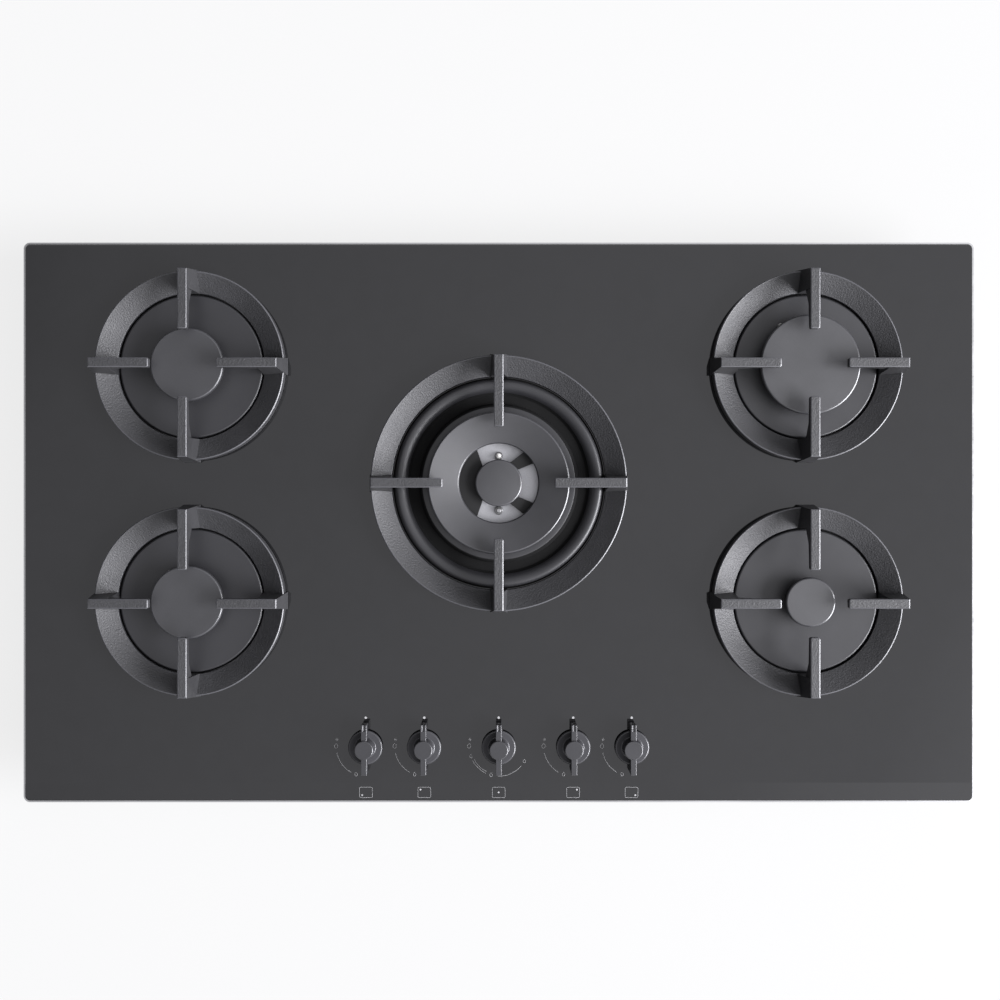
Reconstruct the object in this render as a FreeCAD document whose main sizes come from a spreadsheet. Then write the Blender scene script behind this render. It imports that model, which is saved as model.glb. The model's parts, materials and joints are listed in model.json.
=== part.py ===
# Gas cooktop: five burners on a black glass panel over a sheet-metal pan.
#
# Frame: X to the right, Y to the rear, Z up, in millimetres.  The origin is the
# middle of the underside of the pan, below the middle of the panel.
import FreeCAD, Part
import math
import os
import re
import Sketcher

# ---------------------------------------------------------------- driving sizes
SIZES = {
    # glass panel and its steel trim
    "panel_width": 900.0,
    "panel_depth": 530.0,
    "panel_corner": 6.0,
    "glass_thick": 8.0,
    "glass_chamfer": 0.8,
    "bevel_width": 17.0,
    "bevel_drop": 2.4,
    "lip_thick": 1.5,
    "lip_gap": 0.5,
    "lip_below_glass": 2.6,
    "lip_skirt": 1.6,
    "rim_sheet": 0.8,
    "rim_width": 34.0,
    # worktop seal and pan
    "below_worktop": 50.0,
    "seal_thick": 2.0,
    "seal_width": 14.0,
    "seal_inset": 4.0,
    "pan_width": 848.0,
    "pan_length": 478.0,
    "pan_corner": 12.0,
    "pan_sheet": 0.8,
    "flange_inset": 2.5,
    "dimple_r": 8.0,
    "dimple_rise": 2.5,
    "clamp_pitch_x": 600.0,
    "clamp_pitch_y": 444.0,
    "clamp_hole_r": 2.1,
    "vent_count": 13.0,
    "vent_pitch": 24.0,
    "vent_width": 4.0,
    "vent_length": 50.0,
    "vent_y": 135.0,
    # burner places
    "side_x": 289.4,
    "rear_y": 147.0,
    "front_y": -73.7,
    "wok_y": 37.0,
    # pan supports, heights over the glass
    "finger_height": 45.0,
    "finger_width": 8.7,
    "finger_depth": 9.5,
    "finger_tip_depth": 7.5,
    "brace_reach": 14.0,
    "brace_depth": 24.0,
    "root_width": 16.5,
    "root_step": 0.6,
    "foot_out": 1.8,
    "foot_inset": 5.5,
    "ring_height": 15.0,
    "ring_inner_height": 5.5,
    "ring_land": 1.2,
    "ring_wall": 3.6,
    "ring_toe": 3.0,
    "ring_drop": 5.0,
    "side_ring_r": 88.7,
    "side_bore_r": 69.2,
    "side_finger_r": 86.3,
    "side_tip_r": 31.0,
    "wok_ring_r": 120.0,
    "wok_bore_r": 100.7,
    "wok_finger_r": 117.3,
    "wok_tip_r": 51.4,
    "pad_r": 4.5,
    "pad_thick": 1.5,
    "pad_stem_r": 2.0,
    "pad_stem": 4.0,
    # side burners, heights over the glass
    "semi_cap_r": 34.0,
    "rapid_cap_r": 46.4,
    "aux_cap_r": 23.0,
    "cap_top": 26.0,
    "cap_thick": 6.0,
    "cap_edge": 1.2,
    "cap_lip": 3.0,
    "head_wall": 3.0,
    "head_setback": 3.0,
    "head_base": 3.5,
    "head_skirt": 6.0,
    "port_width": 1.6,
    "port_depth": 4.5,
    "semi_ports": 20.0,
    "rapid_ports": 28.0,
    "aux_ports": 14.0,
    "wok_ports": 36.0,
    "inner_ports": 12.0,
    "dish_r": 66.6,
    "dish_height": 4.2,
    "dish_sheet": 1.8,
    "dish_round": 2.2,
    "cup_wall": 3.0,
    "cup_inset": 6.5,
    "cup_flange": 14.0,
    "cup_flange_thick": 3.0,
    "cup_low": 24.0,
    "glass_hole_over": 7.0,
    "slip": 0.3,
    # wok burner, heights over the glass
    "wok_dish_r": 97.3,
    "wok_crest_r": 91.0,
    "wok_crest_height": 9.0,
    "wok_floor_r": 82.0,
    "wok_collar_r": 71.8,
    "wok_collar_wall": 3.6,
    "wok_collar_height": 10.5,
    "wok_cap_r": 65.9,
    "wok_cap_hole_r": 38.2,
    "wok_cap_top": 29.0,
    "wok_cap_fall": 7.0,
    "wok_cap_thick": 4.0,
    "inner_cap_r": 21.8,
    "inner_cap_top": 25.0,
    "inner_cap_thick": 4.5,
    "wok_cup_r": 65.0,
    "wok_cup_flange_r": 84.0,
    "wok_glass_hole_r": 68.6,
    "wok_cup_low": 40.0,
    "wok_floor_height": 7.0,
    "arm_height": 15.0,
    "arm_ledge": 1.0,
    "arm_inner_low_angle": 36.5,
    "arm_inner_high_angle": 63.5,
    "arm_outer_low_angle": 29.2,
    "arm_outer_high_angle": 50.3,
    "wide_arm_inner_angle": 136.0,
    "wide_arm_outer_angle": 122.0,
    "wok_gas_way_at": 52.0,
    "wok_gas_way_r": 6.0,
    "outer_jet_shift": 45.0,
    # sparkers and flame sensors
    "sensor_inset": 0.5,
    "spark_angle": 124.0,
    "spark_r": 1.6,
    "spark_height": 13.0,
    "spark_pin_r": 0.8,
    "spark_pin": 5.0,
    "spark_tail": 18.0,
    "probe_r": 1.5,
    "probe_height": 17.0,
    "probe_tail": 18.0,
    "sensor_clear": 0.5,
    "wok_spark_r": 25.6,
    # controls, heights over the glass
    "knob_y": -212.0,
    "knob_inner_x": 70.4,
    "knob_outer_x": 125.7,
    "knob_lift": 3.6,
    "knob_skirt_r": 16.2,
    "knob_skirt_thick": 1.8,
    "knob_hub_r": 8.9,
    "knob_hub_top": 21.0,
    "blade_length": 47.0,
    "blade_width": 5.3,
    "blade_top": 19.6,
    "groove_length": 6.0,
    "groove_width": 1.9,
    "groove_depth": 0.8,
    "stem_r": 3.0,
    "stem_flat": 1.9,
    "stem_top": 16.5,
    "stem_fit": 0.06,
    "stem_hole_r": 6.0,
    "seal_clear": 0.4,
    # taps on the gas rail
    "tap_r": 12.0,
    "tap_foot_r": 8.0,
    "tap_floor": 10.0,
    "tap_top": 45.6,
    "plug_low": 13.0,
    "plug_high": 36.0,
    "plug_low_r": 5.5,
    "plug_high_r": 7.8,
    "plug_fit": 0.04,
    "chamber_r": 8.6,
    "stem_low": 28.0,
    "bore_low": 24.0,
    "collar_r": 6.6,
    "collar_low": 43.9,
    "collar_thick": 1.6,
    "bonnet_thick": 2.0,
    "spring_r": 4.6,
    "spring_wire_r": 0.6,
    "spring_turns": 3.0,
    "outlet_z": 18.0,
    "outlet_boss_r": 6.0,
    "outlet_reach": 20.0,
    "outlet_shift": 7.0,
    "port_r": 2.5,
    "rail_r": 7.0,
    "rail_bore_r": 5.8,
    "rail_z": 34.0,
    "rail_back": 21.0,
    "rail_bend_r": 28.0,
    "rail_left": -142.0,
    "saddle_width": 18.0,
    # gas inlet
    "inlet_x": 388.0,
    "inlet_y": 200.0,
    "inlet_recess": 58.0,
    "recess_top": 25.0,
    "inlet_r": 10.48,
    "inlet_bore_r": 7.0,
    "inlet_low": 5.0,
    "inlet_body_r": 13.0,
    "inlet_body_top": 45.0,
    "inlet_nut_r": 14.5,
    "inlet_nut_thick": 5.2,
    "inlet_socket_r": 8.6,
    "inlet_socket_reach": 26.0,
    # burner feed pipes and wiring
    "pipe_r": 4.0,
    "pipe_bore_r": 3.1,
    "pipe_bend_r": 18.0,
    "pipe_insert": 5.0,
    "front_lane_y": -150.0,
    "rear_lane_y": -130.0,
    "lane_x": 215.0,
    "jet_block": 9.0,
    "jet_block_low": 10.0,
    "jet_r": 3.6,
    "jet_bore_r": 1.0,
    "jet_low": 20.5,
    "jet_rise": 5.0,
    "post_r": 4.5,
    "post_inset": 5.0,
    "post_angle": 45.0,
    "screw_r": 2.0,
    "screw_head_r": 3.8,
    "screw_head": 1.8,
    "screw_length": 9.0,
    "bonnet_screw_r": 1.2,
    "bonnet_screw_at": 10.3,
    "bonnet_screw_length": 7.0,
    "bonnet_screw_head_r": 2.0,
    "lead_r": 1.2,
    "lead_z": 31.0,
    "supply_lead_r": 1.9,
    "probe_lead_r": 0.9,
    "probe_lead_z": 7.0,
    "module_x": -150.0,
    "module_y": 205.0,
    "module_length": 70.0,
    "module_width": 38.0,
    "module_height": 24.0,
    "terminal_x": 190.0,
    "terminal_gap": 12.0,
    "terminal_length": 40.0,
    "terminal_width": 22.0,
    "terminal_height": 18.0,
    "cable_hole_r": 6.0,
    "cable_hole_z": 14.0,
}

# heights and places that follow from the sizes above
LEVELS = {
    "seal_top": "below_worktop + seal_thick",
    "flange_top": "below_worktop + seal_thick + pan_sheet",
    "glass_under": "below_worktop + seal_thick + pan_sheet + rim_sheet",
    "glass_face": "below_worktop + seal_thick + pan_sheet + rim_sheet + glass_thick",
    "lip_top": "below_worktop + seal_thick + pan_sheet + rim_sheet + glass_thick - lip_below_glass",
    "glass_width": "panel_width - 2 * lip_thick - 2 * lip_gap",
    "glass_depth": "panel_depth - 2 * lip_thick - 2 * lip_gap",
    "cap_under": "cap_top - cap_thick",
    "wok_cap_seat": "wok_cap_top - wok_cap_thick",
    "dimple_top": "dimple_rise + pan_sheet",
    "rail_y": "knob_y + rail_back",
    "pan_rear": "pan_length / 2 - pan_sheet",
}

doc = FreeCAD.newDocument("gas_cooktop")
parts = []


def fill_sheet(name, cells):
    sheet = doc.addObject("Spreadsheet::Sheet", name)
    for row, (alias, text) in enumerate(cells, 1):
        sheet.set("A%d" % row, alias)
        sheet.set("B%d" % row, text)
        sheet.setAlias("B%d" % row, alias)
    return sheet


def ex(text):
    """A size expression with every alias pointed at its sheet."""
    def point(match):
        word = match.group()
        if word in SIZES:
            return "Sizes." + word
        return "Levels." + word if word in LEVELS else word
    return re.sub(r"[a-z][a-z0-9_]*", point, str(text))


sizes = fill_sheet("Sizes", [(alias, str(value)) for alias, value in SIZES.items()])
levels = fill_sheet("Levels", [(alias, "=" + ex(text)) for alias, text in LEVELS.items()])
doc.recompute()


def size(text):
    """The value of a size expression in millimetres, degrees or a count."""
    return float(sizes.evalExpression(ex(text)))


def bind(item, prop, text):
    item.setExpression(prop, ex(text))


# ---------------------------------------------------------------- sketches
def arc_between(start, end, radius, turn):
    """The minor arc from start to end; turn is +1 counter-clockwise, -1 clockwise."""
    chord = end - start
    rise = math.sqrt(max(radius ** 2 - (chord.Length / 2) ** 2, 0.0))
    left = FreeCAD.Vector(-chord.y, chord.x, 0).normalize()
    centre = (start + end) * 0.5 + left * (rise * turn)
    angles = [math.atan2(p.y - centre.y, p.x - centre.x) for p in (start, end)]
    if turn < 0:
        angles.reverse()
    if angles[1] < angles[0]:
        angles[1] += 2 * math.pi
    circle = Part.Circle(centre, FreeCAD.Vector(0, 0, 1), radius)
    return Part.ArcOfCircle(circle, *angles)


def draw_outline(sketch, corners):
    """A closed outline; a corner (x, y, radius, turn) starts an arc to the next corner."""
    first = sketch.GeometryCount
    spots = [FreeCAD.Vector(size(c[0]), size(c[1]), 0) for c in corners]
    count = len(corners)
    ends = []
    for i, corner in enumerate(corners):
        start, end = spots[i], spots[(i + 1) % count]
        if len(corner) == 4:
            sketch.addGeometry(arc_between(start, end, size(corner[2]), corner[3]), False)
            ends.append((1, 2) if corner[3] > 0 else (2, 1))
        else:
            sketch.addGeometry(Part.LineSegment(start, end), False)
            ends.append((1, 2))
    for i, corner in enumerate(corners):
        follower = (i + 1) % count
        sketch.addConstraint(Sketcher.Constraint(
            "Coincident", first + i, ends[i][1], first + follower, ends[follower][0]))
        for kind, text, value in (("DistanceX", corner[0], spots[i].x),
                                  ("DistanceY", corner[1], spots[i].y)):
            mark = sketch.addConstraint(Sketcher.Constraint(
                kind, -1, 1, first + i, ends[i][0], value))
            bind(sketch, "Constraints[%d]" % mark, text)
        if len(corner) == 4:
            mark = sketch.addConstraint(Sketcher.Constraint(
                "Radius", first + i, size(corner[2])))
            bind(sketch, "Constraints[%d]" % mark, corner[2])


def draw_circle(sketch, x, y, radius):
    centre = FreeCAD.Vector(size(x), size(y), 0)
    circle = Part.Circle(centre, FreeCAD.Vector(0, 0, 1), size(radius))
    i = sketch.addGeometry(circle, False)
    for kind, text, value in (("DistanceX", x, centre.x), ("DistanceY", y, centre.y)):
        mark = sketch.addConstraint(Sketcher.Constraint(kind, -1, 1, i, 3, value))
        bind(sketch, "Constraints[%d]" % mark, text)
    mark = sketch.addConstraint(Sketcher.Constraint("Radius", i, size(radius)))
    bind(sketch, "Constraints[%d]" % mark, radius)


def rounded_rectangle(width, depth, radius):
    """Corners of a centred rectangle with round corners, anticlockwise."""
    far_x, far_y = "(%s) / 2" % width, "(%s) / 2" % depth
    near_x, near_y = "(%s - (%s))" % (far_x, radius), "(%s - (%s))" % (far_y, radius)
    return [
        (near_x, "-" + far_y, radius, 1), (far_x, "-" + near_y),
        (far_x, near_y, radius, 1), (near_x, far_y),
        ("-" + near_x, far_y, radius, 1), ("-" + far_x, near_y),
        ("-" + far_x, "-" + near_y, radius, 1), ("-" + near_x, "-" + far_y),
    ]


def polar(radius, angle):
    return "(%s) * cos(%s)" % (radius, angle), "(%s) * sin(%s)" % (radius, angle)


def rectangle(width, depth, x="0", y="0"):
    half_x, half_y = "(%s) / 2" % width, "(%s) / 2" % depth
    return [("%s %s %s" % (x, sx, half_x), "%s %s %s" % (y, sy, half_y))
            for sx, sy in (("-", "-"), ("+", "-"), ("+", "+"), ("-", "+"))]


def new_body(label, x="0", y="0", z="0"):
    body = doc.addObject("PartDesign::Body", label)
    body.Label = label
    for axis, place in zip("xyz", (x, y, z)):
        bind(body, "Placement.Base." + axis, place)
    return body


def new_sketch(body, plane, loops, offset="0"):
    sketch = body.newObject("Sketcher::SketchObject", body.Name + "_sketch")
    support = [item for item in body.Origin.OriginFeatures if item.Role == plane][0]
    sketch.AttachmentSupport = [(support, "")]
    sketch.MapMode = "FlatFace"
    bind(sketch, "AttachmentOffset.Base.z", offset)
    for loop in loops:
        if isinstance(loop, tuple):
            draw_circle(sketch, *loop)
        else:
            draw_outline(sketch, loop)
    return sketch


def pad(body, loops, low, high, plane="XY_Plane", both=False):
    """Material from low to high along the plane's normal, or both ways about it."""
    feature = body.newObject("PartDesign::Pad", body.Name + "_pad")
    feature.Profile = new_sketch(body, plane, loops, low)
    bind(feature, "Length", "(%s) - (%s)" % (high, low))
    feature.Midplane = both
    return feature


def pocket(body, loops, low, high, plane="XY_Plane", both=False):
    """A cut from low to high along the plane's normal, or both ways about it."""
    feature = body.newObject("PartDesign::Pocket", body.Name + "_pocket")
    feature.Profile = new_sketch(body, plane, loops, low)
    bind(feature, "Length", "(%s) - (%s)" % (high, low))
    feature.Reversed = True
    feature.Midplane = both
    cuts.append((body, feature))
    return feature


def revolve(body, outline, groove=False):
    """A full turn of an outline of (radius, height) corners about the Z axis."""
    kind = "Groove" if groove else "Revolution"
    feature = body.newObject("PartDesign::" + kind, body.Name + "_turned")
    sketch = new_sketch(body, "XZ_Plane", [outline])
    feature.Profile = sketch
    feature.ReferenceAxis = (sketch, ["V_Axis"])
    feature.Angle = 360
    if groove:
        cuts.append((body, feature))
    return feature


def round_array(body, originals, count):
    pattern = body.newObject("PartDesign::PolarPattern", body.Name + "_ring")
    pattern.Originals = originals
    axis = [item for item in body.Origin.OriginFeatures if item.Role == "Z_Axis"][0]
    pattern.Axis = (axis, [""])
    pattern.Angle = 360
    bind(pattern, "Occurrences", count)
    body.Tip = pattern
    return pattern


def publish(item):
    parts.append(item)
    return item


def group(label, members):
    """Several separate pieces of one kind in one node."""
    compound = doc.addObject("Part::Compound", label)
    compound.Label = label
    compound.Links = members
    return publish(compound)


def solid_group(label, shapes):
    """Pieces worked out by formula from the sizes, in one node."""
    feature = doc.addObject("Part::Feature", label)
    feature.Label = label
    feature.Shape = shapes[0] if len(shapes) == 1 else Part.Compound(shapes)
    return publish(feature)


cuts = []

# ---------------------------------------------------------------- burners and taps
SIDE_BURNERS = {
    "rear_left": ("-side_x", "rear_y", "semi_cap_r", "semi_ports"),
    "front_left": ("-side_x", "front_y", "semi_cap_r", "semi_ports"),
    "rear_right": ("side_x", "rear_y", "rapid_cap_r", "rapid_ports"),
    "front_right": ("side_x", "front_y", "aux_cap_r", "aux_ports"),
}
SPARK_TURNS = {
    "rear_left": "spark_angle",
    "front_left": "spark_angle",
    "rear_right": "spark_angle",
    "front_right": "(spark_angle + 180)",
}
TAPS = {
    "front_left": "-knob_outer_x",
    "rear_left": "-knob_inner_x",
    "wok": "0",
    "rear_right": "knob_inner_x",
    "front_right": "knob_outer_x",
}


# ---------------------------------------------------------------- panel
def glass_top():
    body = new_body("glass_top")
    outline = rounded_rectangle("glass_width", "glass_depth", "panel_corner - lip_thick")
    plate = pad(body, [outline], "glass_under", "glass_face")
    doc.recompute()
    rim = ["Edge%d" % (i + 1) for i, edge in enumerate(plate.Shape.Edges)
           if edge.BoundBox.ZMin > size("glass_face") - 0.01]
    chamfer = body.newObject("PartDesign::Chamfer", "glass_edge")
    chamfer.Base = (plate, rim)
    bind(chamfer, "Size", "glass_chamfer")
    doc.recompute()
    burner_holes = [(x, y, cap + " + glass_hole_over") for x, y, cap, _ in SIDE_BURNERS.values()]
    burner_holes.append(("0", "wok_y", "wok_glass_hole_r"))
    stem_holes = [(x, "knob_y", "stem_hole_r") for x in TAPS.values()]
    pocket(body, burner_holes + stem_holes, "glass_under - 1", "glass_face + 1")
    front = "-glass_depth / 2"
    bevel = [(front + " - 1", "glass_face - bevel_drop - bevel_drop / bevel_width"),
             (front + " + bevel_width", "glass_face"),
             (front + " + bevel_width", "glass_face + 1"),
             (front + " - 1", "glass_face + 1")]
    pocket(body, [bevel], "0", "panel_width", plane="YZ_Plane", both=True)
    return publish(body)


def steel_rim():
    body = new_body("steel_rim")
    skirt = "flange_top - lip_skirt"
    outside = rounded_rectangle("panel_width", "panel_depth", "panel_corner")
    inside = rounded_rectangle("panel_width - 2 * lip_thick", "panel_depth - 2 * lip_thick",
                               "panel_corner - lip_thick")
    window = rounded_rectangle("panel_width - 2 * rim_width", "panel_depth - 2 * rim_width",
                               "panel_corner")
    pad(body, [outside], skirt, "lip_top")
    pocket(body, [window], skirt + " - 1", "lip_top + 1")
    pocket(body, [inside], "glass_under", "lip_top + 1")
    pocket(body, [inside], skirt + " - 1", "flange_top")
    return publish(body)


def worktop_seal():
    body = new_body("worktop_seal")
    outer = rounded_rectangle("panel_width - 2 * seal_inset", "panel_depth - 2 * seal_inset",
                              "panel_corner")
    inner = rounded_rectangle("panel_width - 2 * seal_inset - 2 * seal_width",
                              "panel_depth - 2 * seal_inset - 2 * seal_width", "panel_corner")
    pad(body, [outer, inner], "below_worktop", "seal_top")
    return publish(body)


def post_places(x, y, radius):
    """Two support posts of a burner cup, on opposite sides of it."""
    reach = "(%s)" % radius
    return [("%s %s %s * cos(post_angle * 1deg)" % (x, sign, reach),
             "%s %s %s * sin(post_angle * 1deg)" % (y, sign, reach)) for sign in "+-"]


def pan_screw_places():
    places = []
    for x, y, cap, _ in SIDE_BURNERS.values():
        places += post_places(x, y, cap + " + cup_flange - post_inset")
    places += post_places("0", "wok_y", "wok_cup_flange_r - post_inset")
    places += [(x, "knob_y") for x in TAPS.values()]
    return places


def bottom_pan():
    body = new_body("bottom_pan")
    recess_x, recess_y = "inlet_x", "inlet_y"
    box = rounded_rectangle("pan_width", "pan_length", "pan_corner")
    inside = rounded_rectangle("pan_width - 2 * pan_sheet", "pan_length - 2 * pan_sheet",
                               "pan_corner - pan_sheet")
    flange = rounded_rectangle("panel_width - 2 * flange_inset", "panel_depth - 2 * flange_inset",
                               "panel_corner")
    pad(body, [box], "0", "flange_top")
    pad(body, [flange], "seal_top", "flange_top")
    pocket(body, [inside], "pan_sheet", "flange_top + 1")
    hood = rectangle("inlet_recess", "inlet_recess", recess_x, recess_y)
    hollow = rectangle("inlet_recess - 2 * pan_sheet", "inlet_recess - 2 * pan_sheet",
                       recess_x, recess_y)
    pad(body, [hood], "0", "recess_top")
    pocket(body, [hollow], "-1", "recess_top - pan_sheet")
    pocket(body, [(recess_x, recess_y, "inlet_r + slip")], "recess_top - 2", "recess_top + 1")
    places = pan_screw_places()
    pad(body, [(x, y, "dimple_r") for x, y in places], "0", "dimple_top")
    pocket(body, [(x, y, "dimple_r - pan_sheet") for x, y in places], "-1", "dimple_rise")
    pocket(body, [(x, y, "screw_r + slip") for x, y in places], "-1", "dimple_top + 1")
    clamp_holes = [("%s clamp_pitch_x / 2" % sx, "%s clamp_pitch_y / 2" % sy, "clamp_hole_r")
                   for sx in "+-" for sy in "+-"]
    pocket(body, clamp_holes, "-1", "pan_sheet + 1")
    pocket(body, [("terminal_x", "cable_hole_z", "cable_hole_r")], "-pan_length / 2 - 1",
           "1 - pan_rear", plane="XZ_Plane")
    slot = rectangle("vent_width", "vent_length", "-vent_pitch * (vent_count - 1) / 2", "vent_y")
    vent = pocket(body, [slot], "-1", "pan_sheet + 1")
    row = body.newObject("PartDesign::LinearPattern", "vent_row")
    row.Originals = [vent]
    x_axis = [item for item in body.Origin.OriginFeatures if item.Role == "X_Axis"][0]
    row.Direction = (x_axis, [""])
    bind(row, "Length", "vent_pitch * (vent_count - 1)")
    bind(row, "Occurrences", "vent_count")
    body.Tip = row
    return publish(body)


# ---------------------------------------------------------------- pan supports
def grate(name, x, y, ring_r, bore_r, finger_r, tip_r):
    body = new_body("grate_" + name, x, y, "glass_face")
    clear = "pad_thick"
    ring = revolve(body, [
        (ring_r, clear), (ring_r, "ring_height"), (ring_r + " - ring_land", "ring_height"),
        (bore_r, "ring_inner_height"), (bore_r, clear), (bore_r + " + ring_toe", clear),
        (ring_r + " - ring_wall", "ring_height - ring_drop"), (ring_r + " - ring_wall", clear)])
    root_in = bore_r + " - root_step"
    foot_r = ring_r + " + foot_out"
    beam = pad(body, [[
        (tip_r, "finger_height"), (tip_r, "finger_height - finger_tip_depth"),
        (bore_r + " - brace_reach", "finger_height - finger_depth"),
        (root_in, "finger_height - brace_depth"),
        (bore_r + " + 4", "finger_height - brace_depth"), (bore_r + " + 4", "finger_height")]],
        "0", "finger_width", plane="XZ_Plane", both=True)
    root = pad(body, [[
        ("-root_width / 2", clear), ("root_width / 2", clear),
        ("finger_width / 2", "finger_height"), ("-finger_width / 2", "finger_height")]],
        root_in, foot_r, plane="YZ_Plane")
    slope = pocket(body, [[
        (foot_r, clear), (foot_r + " + 5", clear), (foot_r + " + 5", "finger_height + 1"),
        (finger_r, "finger_height + 1"), (finger_r, "finger_height")]],
        "0", "root_width + 2", plane="XZ_Plane", both=True)
    socket = pocket(body, [(ring_r + " - foot_inset", "0", "pad_stem_r")],
                    "0", clear + " + pad_stem")
    round_array(body, [beam, root, slope, socket], "4")
    return publish(body)


def grate_pads(name, x, y, ring_r):
    """Four rubber pads whose stems are pressed into the feet of one grate."""
    reach = "(%s - foot_inset)" % ring_r
    members = []
    for side, (sx, sy) in enumerate(((1, 0), (0, 1), (-1, 0), (0, -1)), 1):
        pad_body = new_body("pad_%s_%d" % (name, side), "%s + %d * %s" % (x, sx, reach),
                            "%s + %d * %s" % (y, sy, reach), "glass_face")
        revolve(pad_body, [("0", "0"), ("pad_r", "0"), ("pad_r", "pad_thick"),
                           ("pad_stem_r", "pad_thick"), ("pad_stem_r", "pad_thick + pad_stem"),
                           ("0", "pad_thick + pad_stem")])
        members.append(pad_body)
    return group("grate_pads_" + name, members)


# ---------------------------------------------------------------- side burners
def spark_place(name, cap):
    """The sparker's place under the rim of a side burner's cap, from the burner's middle."""
    return polar(cap + " - sensor_inset", SPARK_TURNS[name] + " * 1deg")


def probe_place(x, cap):
    """The flame probe's place, under the cap's rim on the panel's outer side."""
    return "%s(%s - sensor_inset)" % ("-" if x.startswith("-") else "", cap), "0"


def sensor_holes(name, x, cap):
    return [spark_place(name, cap) + ("spark_r + sensor_clear",),
            probe_place(x, cap) + ("probe_r + sensor_clear",)]


def side_dish(name, x, y, cap):
    body = new_body("burner_dish_" + name, x, y, "glass_face")
    hole = cap + " - cup_inset - cup_wall + slip"
    revolve(body, [
        (hole, "dish_height - dish_sheet"), ("dish_r - 2 * dish_sheet", "dish_height - dish_sheet"),
        ("dish_r - dish_sheet", "dish_height - 2 * dish_sheet"), ("dish_r - dish_sheet", "0"),
        ("dish_r", "0"), ("dish_r", "dish_height - dish_round", "dish_round", 1),
        ("dish_r - dish_round", "dish_height"), (hole, "dish_height")])
    pocket(body, sensor_holes(name, x, cap), "-1", "dish_height + 1")
    return publish(body)


def side_cup(name, x, y, cap):
    body = new_body("burner_cup_" + name, x, y)
    outer, inner = cap + " - cup_inset", cap + " - cup_inset - cup_wall"
    flange = cap + " + cup_flange"
    low, top = "cup_low", "glass_face + dish_height - dish_sheet"
    under = "glass_under - cup_flange_thick"
    revolve(body, [
        ("0", low), (outer, low), (outer, under), (flange, under), (flange, "glass_under"),
        (outer, "glass_under"), (outer, top), (inner, top), (inner, low + " + cup_wall"),
        ("0", low + " + cup_wall")])
    posts = post_places("0", "0", flange + " - post_inset")
    pad(body, [(px, py, "post_r") for px, py in posts], "dimple_top", under + " + 1")
    pad(body, [rectangle("2 * jet_block", "2 * jet_block")], "jet_block_low", low + " + 1")
    pocket(body, [(px, py, "screw_r") for px, py in posts], "0", "dimple_rise + screw_length")
    pocket(body, [("0", "0", "jet_r")], "outlet_z", low + " + cup_wall + 1")
    pocket(body, sensor_holes(name, x, cap), under + " - 1", "glass_under + 1")
    spans = [("jet_block - pipe_insert", "jet_block + 1", "pipe_r"), ("0", "jet_block", "port_r")]
    for near, far, radius in spans:
        circle = [("0", "outlet_z", radius)]
        if y == "front_y":
            pocket(body, circle, near, far, plane="XZ_Plane")
        elif x.startswith("-"):
            pocket(body, circle, near, far, plane="YZ_Plane")
        else:
            pocket(body, circle, "-(%s)" % far, "-(%s)" % near, plane="YZ_Plane")
    return body


def flame_ports(body, rim, seat, count):
    """Slots for the flames through the top of a crown whose outer radius is rim."""
    port = pocket(body, [rectangle("4 * head_wall", "port_width", rim)],
                  seat + " - port_depth", seat + " + 1")
    round_array(body, [port], count)


def side_head(name, x, y, cap, ports):
    body = new_body("burner_head_" + name, x, y, "glass_face")
    rim = cap + " - head_setback"
    skirt = cap + " - cup_inset - cup_wall - slip"
    revolve(body, [
        (skirt + " - head_wall", "dish_height - head_skirt"),
        (skirt, "dish_height - head_skirt"), (skirt, "dish_height"), (rim, "dish_height"),
        (rim, "cap_under"), (rim + " - head_wall", "cap_under"),
        (rim + " - head_wall", "dish_height + head_base"),
        (skirt + " - head_wall", "dish_height + head_base")])
    flame_ports(body, rim, "cap_under", ports)
    return publish(body)


def cap_outline(radius, top, thick, lip_r):
    """Turned cap: flat top, eased edge, and a locating lip that drops into the head."""
    under = "%s - %s" % (top, thick)
    return [("0", under), (lip_r + " - head_wall", under),
            (lip_r + " - head_wall", under + " - cap_lip"), (lip_r, under + " - cap_lip"),
            (lip_r, under), (radius, under), (radius, top + " - cap_edge", "cap_edge", 1),
            (radius + " - cap_edge", top), ("0", top)]


def side_cap(name, x, y, cap):
    body = new_body("burner_cap_" + name, x, y, "glass_face")
    revolve(body, cap_outline(cap, "cap_top", "cap_thick",
                              cap + " - head_setback - head_wall - slip"))
    return publish(body)


# ---------------------------------------------------------------- wok burner
def wok_dish():
    body = new_body("burner_dish_wok", "0", "wok_y", "glass_face")
    rise = "(wok_crest_height - dish_sheet)"
    outer_bend = "((wok_dish_r - wok_crest_r) ^ 2 + %s ^ 2) / (2 * %s)" % (rise, rise)
    inner_bend = "((wok_crest_r - wok_floor_r) ^ 2 + %s ^ 2) / (2 * %s)" % (rise, rise)
    collar_in = "wok_collar_r - wok_collar_wall"
    revolve(body, [
        ("wok_dish_r - 1.5 * dish_sheet", "0"), ("wok_dish_r", "0"),
        ("wok_dish_r", "dish_sheet", outer_bend, 1),
        ("wok_crest_r", "wok_crest_height", inner_bend, 1),
        ("wok_floor_r", "dish_sheet"), ("wok_collar_r", "dish_sheet"),
        ("wok_collar_r", "wok_collar_height"), (collar_in, "wok_collar_height"),
        (collar_in, "0"), ("wok_floor_r + dish_sheet", "0"),
        ("wok_crest_r", "wok_crest_height - dish_sheet")])
    return publish(body)


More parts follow.
